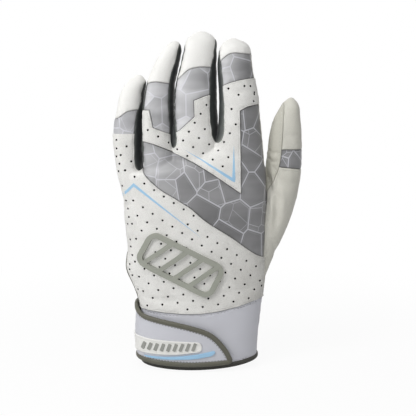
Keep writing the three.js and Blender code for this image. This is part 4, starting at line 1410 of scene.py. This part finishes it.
# %% Badge, bar and patches
LEFT_EDGE = -39.5
BADGE = [(-0.66, 0.093), (-0.1, 0.0915), (0.015, 0.089), (0.032, 0.084), (0.038, 0.0665), (0.02, 0.0605),
         (-0.15, 0.0505), (-0.39, 0.042), (-0.66, 0.04)]
BADGE_FIELD = [
    (-0.65, 0.0885), (-0.1, 0.087), (0.011, 0.0845), (0.024, 0.0805), (0.029, 0.0695), (0.015, 0.065),
    (-0.15, 0.055), (-0.39, 0.0465), (-0.65, 0.0445)]
BADGE_BAR = [(-0.355, 0.035), (-0.18, 0.043), (0.0, 0.0525), (0.1, 0.06), (0.12, 0.0615), (0.127, 0.0555),
             (0.1, 0.0465), (0.0, 0.04), (-0.18, 0.035), (-0.33, 0.032)]
LOOP_PATCH = [(-0.14, 0.035), (0.15, 0.035), (0.17, 0.05), (0.09, 0.098), (-0.14, 0.12)]
HOOK_PATCH = [(-0.1, 0.04), (0.14, 0.04), (0.15, 0.055), (0.09, 0.1), (-0.1, 0.12)]
BADGE_THICKNESS, BADGE_BEVEL, FIELD_SINK, FIELD_TOOL = 0.9, 0.3, 0.3, 0.6
BAR_THICKNESS, BAR_BEVEL = 0.8, 0.25
PATCH_THICKNESS, PATCH_BEVEL, PATCH_LIFT = 0.7, 0.2, 0.1
BADGE_RIBS, RIB_SINK, RIB_THICKNESS = 9, 0.35, 0.55
RIB_START, RIB_HEIGHT, RIB_PITCH, RIB_DROP = -1.6, 17.2, 4.1, 0.26
badge_lift = STRAP_LIFT + STRAP_THICKNESS


def on_cuff(shares):
    """A front-view outline carried to the way round the cuff; beyond the left edge it runs on behind."""
    edge_way = way_at(LEFT_EDGE)
    return [(way_at(x) if x > LEFT_EDGE else edge_way + (x - LEFT_EDGE), z) for x, z in straight(shares)]


badge_plate = flat_solid("badge_plate", eased_outline(on_cuff(BADGE), 0.9, 2), BADGE_THICKNESS, BADGE_BEVEL)
field = flat_solid("field", eased_outline(on_cuff(BADGE_FIELD), 0.9, 2), FIELD_TOOL)
for vert in field.data.vertices:
    vert.co.z += BADGE_THICKNESS - FIELD_SINK
raised["strap_badge"] = wrapped(combined(badge_plate, field, "DIFFERENCE"), round_wrist, badge_lift)
ribs = []
for k in range(BADGE_RIBS):
    centre = (way_at(RIB_START) - RIB_PITCH * k, RIB_HEIGHT - RIB_DROP * k)
    rib = flat_solid("rib", round_rectangle(5.4, 2.1, 0.3, 70, centre, 2), RIB_THICKNESS)
    ribs.append(wrapped(rib, round_wrist, badge_lift + BADGE_THICKNESS - RIB_SINK))
threads["strap_badge"] = joined("badge_ribs", ribs)
sewn_on("badge_bar", eased_outline(on_cuff(BADGE_BAR), 0.7, 1), BAR_THICKNESS, badge_lift, 1.6, BAR_BEVEL)
for name, outline, lift in (("loop_patch", LOOP_PATCH, PATCH_LIFT),
                            ("hook_patch", HOOK_PATCH, STRAP_LIFT - PATCH_THICKNESS - 0.05)):
    sewn_on(name, eased_outline(on_cuff(outline), 1.5, 1), PATCH_THICKNESS, lift, bevel=PATCH_BEVEL)

# %% Moulded pad and stripes
PAD_CENTRE = (x_of(-0.11), z_of(0.317))
PAD_LENGTH, PAD_WIDTH, PAD_CORNER, PAD_TURN = 56.0, 25.0, 7.0, -27.0
PAD_BAND, PAD_RIB, PAD_RIBS, PAD_RIB_TURN, PAD_RIB_CORNER = 3.4, 3.0, 4, 62.0, 0.4
PAD_THICKNESS, PAD_BEVEL, PAD_SINK = 2.0, 0.45, 0.1
STRIPE_THICKNESS, STRIPE_SINK = 0.16, 0.04
pad_frame, pad_window = (
    round_rectangle(PAD_LENGTH - 2 * band, PAD_WIDTH - 2 * band, PAD_CORNER - band, PAD_TURN, PAD_CENTRE)
    for band in (0, PAD_BAND))
pad_ribs = []
rib_length = (PAD_WIDTH - PAD_BAND) / math.sin(math.radians(PAD_RIB_TURN))
for k in range(PAD_RIBS):
    along = PAD_LENGTH / (PAD_RIBS + 1) * (k + 1) - PAD_LENGTH / 2
    turn = math.radians(PAD_TURN)
    centre = (PAD_CENTRE[0] + along * math.cos(turn), PAD_CENTRE[1] + along * math.sin(turn))
    pad_ribs.append(round_rectangle(rib_length, PAD_RIB, PAD_RIB_CORNER, PAD_TURN + PAD_RIB_TURN, centre, 2))
sewn_on("moulded_pad", pad_frame, PAD_THICKNESS, OVERLAY_RISE - PAD_SINK, 2.0, PAD_BEVEL, over_back,
        [pad_window], pad_ribs)
for name, outline in (("knuckle_stripe", KNUCKLE_STRIPE), ("back_stripe", BACK_STRIPE)):
    sewn_on(name, straight(outline), STRIPE_THICKNESS, OVERLAY_RISE - STRIPE_SINK, 1.5, wrap=over_back)
for name, piece in raised.items():
    print(name, len(piece.data.polygons), "faces")

# %% [markdown]
# Leather is grained: small flat-topped pebbles with creases between, over a faint mottle. The perforated
# overlays have a pebble with a fine pore in most of them, the fingertips are smoother, and the palm is softer
# and warmer. Every leather is painted darker close to its seams, and the perforated overlays are painted
# darker towards the thumb and the cuff; both are painted shade. The thumb's gusset takes a darker copy of the
# thumb's leather, which is painted shade too.

# %% Leathers
SHADE_WIDTH, SHADE_TOP, SHADE_HEIGHT = 42.0, 115.0, 45.0


def leather(name, colour, shade, roughness, pebble, depth, pores=0.0, edge=0.3, painted_shade=0.0):
    finish = Finish(name, colour, roughness, gloss=0.4)
    place = finish.place()
    mottle = finish.noise(place, 14.0, 3.0)
    pebbles = (finish.cells(place, pebble, "DISTANCE_TO_EDGE") * 5.0).clamped()
    shaded = ((mottle - 0.42) * 2.2).clamped() * 0.35 + (1 - pebbles) * 0.3
    height = pebbles * 0.8 + finish.noise(place, 0.5) * 0.2
    if pores:
        pore = (1 - finish.cells(place, 1.05, "F1") * 4.6).clamped()
        spread = ((finish.noise(place, 3.2, 1.0) - 0.4) * 5.0).clamped()
        shaded = shaded + pore * spread * pores
        height = height - pore * 0.8
    # Painted shade: the leather is painted darker towards the thumb and towards the cuff, where the back of
    # the hand turns away from the lamps.
    if painted_shade:
        across, _, up = finish.parts(place)
        thumb_side = (across / SHADE_WIDTH).clamped() * ((SHADE_TOP - up) / SHADE_HEIGHT).clamped()
        shaded = shaded + thumb_side * painted_shade
    toned = finish.mixed(shaded.clamped(), colour, shade)
    # Painted shade in the seams: the colour darkens within a few millimetres of a seam.
    rim = finish.by_seam(0.6) * edge + finish.by_seam(3.5) * 0.06
    finish.feed("Base Color", finish.mixed(rim, toned, (0.1, 0.1, 0.09)))
    finish.feed("Roughness", roughness + (mottle - 0.5) * 0.16 + (1 - pebbles) * 0.12)
    finish.bump(height, depth)


leather("white_leather", (0.845, 0.84, 0.815), (0.73, 0.72, 0.69), 0.46, 0.75, 0.05)
# The perforated leather's last number is its painted shade towards the thumb and the cuff.
leather("perforated_leather", (0.83, 0.825, 0.80), (0.5, 0.49, 0.46), 0.52, 0.8, 0.09, 0.75, 0.12, 0.5)
leather("palm_leather", (0.64, 0.63, 0.565), (0.5, 0.485, 0.42), 0.56, 1.1, 0.1)
leather("thumb_leather", (0.63, 0.62, 0.56), (0.52, 0.505, 0.44), 0.5, 0.9, 0.06)
# A darker copy of the thumb's leather for the gusset: painted shade on the side that turns away from the
# lamps.
leather("thumb_leather_painted_shade", (0.55, 0.54, 0.475), (0.45, 0.435, 0.375), 0.5, 0.9, 0.06)
print("finishes so far:", *finishes)

# %% [markdown]
# The stretch cloth is a satin print: flat grey cells of uneven size with pale lines between them, drawn from
# the edges of random cells, and a few finer lines inside some of them. Its grey is painted darker towards the
# index finger, and each band's grey changes across it; this is painted light and shade. Broad paler patches
# on it are a painted sheen, and it is painted darker along its seams as painted shade.

# %% Stretch cloth
LINE = (0.66, 0.66, 0.71)


def satin(name, left, right, x_left, x_right, shift=(0, 0, 0)):
    """Goes from one grey to another across the hand, as painted light and shade, under broad patches of
    painted sheen. A shift gives each band cells of its own.
    """
    finish = Finish(name, (0.3, 0.3, 0.32), 0.36, sheen=0.12)
    place = finish.place()
    x, y, z = finish.parts(finish.node("VectorMath", {"operation": "ADD"}, {0: place, 1: shift}))
    flat = finish.node("CombineXYZ", None, {"X": x + y * 0.3, "Y": z * 0.92})
    across, _, up = finish.parts(place)
    # Painted light and shade: the grey changes from one side of the hand to the other.
    painted_shading = ((across - x_left) / (x_right - x_left)).clamped()
    cell_tone = finish.parts(finish.cells(flat, 15.0, "F1", "Color", 0.8, True))[0]
    edge = finish.cells(flat, 15.0, "DISTANCE_TO_EDGE", randomness=0.8, flat=True)
    fine_edge = finish.cells(flat, 10.5, "DISTANCE_TO_EDGE", randomness=0.9, flat=True)
    inner_edge = (edge - 0.085).maths("ABSOLUTE", edge - 0.085)
    some = ((cell_tone - 0.55) * 30.0).clamped()
    line = ((0.036 - edge) * 60.0).clamped()
    fine = ((0.026 - fine_edge) * 80.0).clamped() * some * 0.75
    inner = ((0.010 - inner_edge) * 160.0).clamped() * 0.3
    print_line = line.maths("MAXIMUM", line.maths("MAXIMUM", line, fine), inner)
    ground = finish.mixed(painted_shading, left, right)
    # Painted sheen: broad paler patches where a satin would catch the light in its folds.
    tall = finish.node("VectorMath", {"operation": "MULTIPLY"}, {0: place, 1: (0.5, 0.5, 1.6)})
    sheen = ((finish.noise(tall, 22.0) - 0.35) * 3.3).clamped() * 0.4
    toned = finish.node("HueSaturation", None, {"Color": ground, "Value": 0.6 + cell_tone * 0.36 + sheen})
    colour = finish.mixed(print_line, toned, finish.mixed(0.6, toned, LINE))
    # Painted shade along the seams.
    colour = finish.mixed(finish.by_seam(0.8) * 0.8 + finish.by_seam(3.0) * 0.15, colour, (0.05, 0.05, 0.048))
    knit = (across * 9.0).sine() * (up * 9.0).sine()
    finish.feed("Base Color", colour)
    finish.feed("Roughness", 0.34 + print_line * 0.14 + finish.noise(place, 6.0) * 0.08)
    finish.bump(knit * 0.5 + print_line * 0.6, 0.05)


satin("stretch_fabric", (0.46, 0.46, 0.47), (0.215, 0.215, 0.22), -44, 4)
satin("little_band_satin", (0.33, 0.33, 0.345), (0.44, 0.44, 0.455), -56, -38, (9, 4, 2))
satin("ring_band_satin", (0.60, 0.60, 0.615), (0.49, 0.49, 0.505), -36, -16, (4, 0, 11))
satin("middle_band_satin", (0.58, 0.58, 0.595), (0.38, 0.38, 0.39), -15, 12, (3, 8, 6))
satin("index_band_satin", (0.62, 0.62, 0.635), (0.17, 0.17, 0.175), 19, 37, (5, 2, 7))
satin("thumb_band_satin", (0.16, 0.16, 0.165), (0.22, 0.22, 0.225), 54, 68, (14, 2, 3))

# %% [markdown]
# The cuff and strap are a smooth stretch knit over thin foam, and the knits are painted darker along their
# seams as painted shade. The binding is a ribbed tape, the side strips are a dark stretch cloth with painted
# light and shade on them, and the pad, badge and stripes are moulded or pressed plastics.

# %% Cloths, tapes and mouldings
def knit(name, colour, shade, roughness, gauge, depth, sheen=0.2):
    finish = Finish(name, colour, roughness, sheen=sheen)
    place = finish.place()
    across, deep, up = finish.parts(place)
    weave = ((across + deep) * (6.283 / gauge)).sine() * (up * (6.283 / gauge)).sine() * 0.5 + 0.5
    mottle = finish.noise(place, 9.0)
    toned = finish.mixed(((1 - weave) * 0.22 + mottle * 0.3).clamped(), colour, shade)
    # Painted shade along the seams.
    finish.feed("Base Color", finish.mixed(finish.by_seam(0.8) * 0.6, toned, (0.06, 0.06, 0.06)))
    finish.feed("Roughness", roughness + mottle * 0.1 - 0.05)
    finish.bump(weave, depth)


def moulded(name, colour, shade, roughness, gloss=0.5):
    finish = Finish(name, colour, roughness, gloss=gloss)
    place = finish.place()
    mottle = finish.noise(place, 7.0, 3.0)
    matt = finish.noise(place, 0.7)
    finish.feed("Base Color", finish.mixed(((mottle - 0.35) * 1.2).clamped(), colour, shade))
    finish.feed("Roughness", roughness + (matt - 0.5) * 0.2)
    finish.bump(matt, 0.03)


def strip_cloth():
    """Near black inside the gap and grey-green where the cloth turns to the front and at the bottom of a web,
    as painted shade and painted light, with a painted highlight along its seams.
    """
    finish = Finish("side_strip", (0.02, 0.025, 0.024), 0.5, sheen=0.15)
    place = finish.place()
    across, deep, up = finish.parts(place)
    slope = up - across * KNUCKLE_SLOPE
    web = (1 - (slope - 142.0) / 9.0).clamped()
    front = ((-3.5 - deep) / 6.5).clamped()
    ribs = ((up + across) * 7.0).sine() * 0.5 + 0.5
    # Painted light where the cloth turns to the front and at the bottom of a web, and a painted highlight
    # along the seams.
    pale = front * 0.5 + web * front * 0.5 + finish.by_seam(1.6) * (0.25 + front * 0.6)
    pale = (pale + finish.noise(place, 5.0) * 0.24 - 0.12 - ribs * 0.06).clamped()
    finish.feed("Base Color", finish.mixed(pale, (0.012, 0.016, 0.016), (0.27, 0.29, 0.265)))
    finish.bump(ribs, 0.05)


strip_cloth()
knit("cuff_knit", (0.585, 0.59, 0.635), (0.49, 0.495, 0.54), 0.62, 0.8, 0.05)
knit("binding_tape", (0.115, 0.112, 0.083), (0.06, 0.059, 0.042), 0.5, 0.9, 0.09, 0.1)
knit("hem_tape", (0.032, 0.031, 0.024), (0.017, 0.0165, 0.0125), 0.55, 0.9, 0.09, 0.05)
knit("hook_and_loop", (0.5, 0.5, 0.53), (0.3, 0.3, 0.32), 0.9, 0.6, 0.3, 0.4)
knit("lining_cloth", (0.42, 0.42, 0.42), (0.33, 0.33, 0.33), 0.8, 1.2, 0.1)
moulded("moulded_rubber", (0.31, 0.32, 0.275), (0.265, 0.275, 0.235), 0.4)
moulded("blue_film", (0.34, 0.56, 0.76), (0.28, 0.49, 0.7), 0.35)
moulded("badge_rubber", (0.80, 0.795, 0.77), (0.74, 0.735, 0.70), 0.4)
moulded("badge_grey", (0.3, 0.305, 0.28), (0.25, 0.255, 0.235), 0.45)
moulded("pale_thread", (0.66, 0.65, 0.62), (0.5, 0.5, 0.48), 0.6)
moulded("grey_thread", (0.26, 0.26, 0.27), (0.2, 0.2, 0.21), 0.6)
# The pits are painted near black: painted shadow in the holes.
moulded("hole_shadow", (0.012, 0.012, 0.011), (0.008, 0.008, 0.008), 0.9, 0.05)
print("finishes:", len(finishes))

# %% Give each piece its finish
slots = {entry["node"]: entry["material_slot"] for entry in frame["record"]["subparts"]}
own_finish = {name: name + "_satin" for name in panels if "band" in name}
own_finish.update({"hem_binding": "hem_tape", "thumb_back": "thumb_leather", "thumb_cap": "thumb_leather",
                   "thumb_gusset": "thumb_leather_painted_shade"})
thread_finish = {"strap_badge": "badge_grey", "strap_binding": "grey_thread", "cuff_back": "grey_thread",
                 "cuff_palm": "grey_thread"}
everything = {**panels, **raised}
for name, obj in everything.items():
    slots_used = obj.data.materials
    for index, finish in enumerate((own_finish.get(name, slots[name]), "lining_cloth", "hole_shadow")):
        if index < len(slots_used):
            slots_used[index] = finishes[finish]
        else:
            slots_used.append(finishes[finish])
for name, thread in threads.items():
    thread.data.materials.append(finishes[thread_finish.get(name, "pale_thread")])
print("pieces with a finish:", len(everything) + len(threads))

# %% [markdown]
# Each piece now takes its place in the frame. Cloth and leather that run across a bend, the way the real
# panels stretch over a knuckle, are left without a body here, and everything else rides one body. The hem of
# a soft cuff is not level: it hangs lowest in the middle of the back, so the last step lifts its two ends a
# little.

# %% Place, ride and replace
HALF_ZONE, TIP_ZONE = 9.0, 16.0
HEM_MIDDLE, HEM_FADE = -6.0, 58.0
HEM_LEFT, HEM_RIGHT = 36, 46
HEM_LIFT_LEFT, HEM_LIFT_RIGHT = 2.6, 4.6


def placed(obj, name):
    """Stores where each point lies on the glove at rest, then moves the mesh into the frame's metres."""
    mesh = obj.data
    points = vectors(mesh.vertices)
    cloth = mesh.attributes.new("cloth", "FLOAT_VECTOR", "POINT")
    cloth.data.foreach_set("vector", np.ascontiguousarray(points, dtype=np.float32).ravel())
    if "seam" not in mesh.attributes:
        seam = mesh.attributes.new("seam", "FLOAT", "POINT")
        seam.data.foreach_set("value", [float(FAR_FROM_SEAM)] * len(points))
    left = np.clip((HEM_MIDDLE - points[:, 0]) / HEM_LEFT, 0, 1.2) ** 2 * HEM_LIFT_LEFT
    right = np.clip((points[:, 0] - HEM_MIDDLE) / HEM_RIGHT, 0, 1.2) ** 2 * HEM_LIFT_RIGHT
    fade = 1 - np.clip(points[:, 2] / HEM_FADE, 0, 1)
    points[:, 2] += (left + right) * fade * fade * (3 - 2 * fade)
    write_points(mesh, (points + np.array(TO_FRAME)) / 1000)
    obj.name = mesh.name = "glove_" + name


def frame_point(x, y, z):
    return tuple((Vector((x, y, z)) + TO_FRAME) / 1000)


knuckle = Vector(frame_point(0, 0, z_of(KNUCKLE_HEIGHT)))
for finger, share in BENDS.items():
    frame_point(0, 0, z_of(share))
    frame_point(0, 0, z_of(share) + TIP_ZONE)
OVER_JOINTS = {
    "knuckle": "back_overlay stretch_back palm_leather knuckle_overlay knuckle_stripe back_stripe "
               "web_little_ring web_ring_middle web_middle_index",
    "little": "little_band little_cap little_front little_side",
    "ring": "ring_band ring_cap ring_front ring_side_outer ring_side_inner",
    "middle": "middle_band middle_cap middle_front middle_side_outer middle_side_inner",
    "index": "index_panel index_band index_cap index_front index_side",
    "thumb": "thumb_gusset thumb_front thumb_band thumb_back thumb_cap",
    "strap": "strap_web strap_binding strap_badge badge_bar",
}
STANDS_FOR_TOO = {
    "back_overlay": ["little_back"], "stretch_back": ["knuckle_stretch", "index_side_panel"],
    "palm_leather": ["palm_fingers"], "ring_band": ["ring_stretch"], "middle_band": ["middle_stretch"],
    "thumb_gusset": ["thumb_gusset_tip"], "thumb_front": ["thumb_tip_front"], "strap_web": ["strap_root"],
}
joint_of = {name: joint for joint, names in OVER_JOINTS.items() for name in names.split()}
for name, obj in everything.items():
    placed(obj, name)
    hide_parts(name, *STANDS_FOR_TOO.get(name, []))
for name, thread in threads.items():
    placed(thread, name + "_thread")
for name, obj in [*everything.items(), *threads.items()]:
    if name in joint_of:
        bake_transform(obj)
    else:
        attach(obj, "strap" if name == "hook_patch" else "hand")
print("pieces over a joint:", len(joint_of))
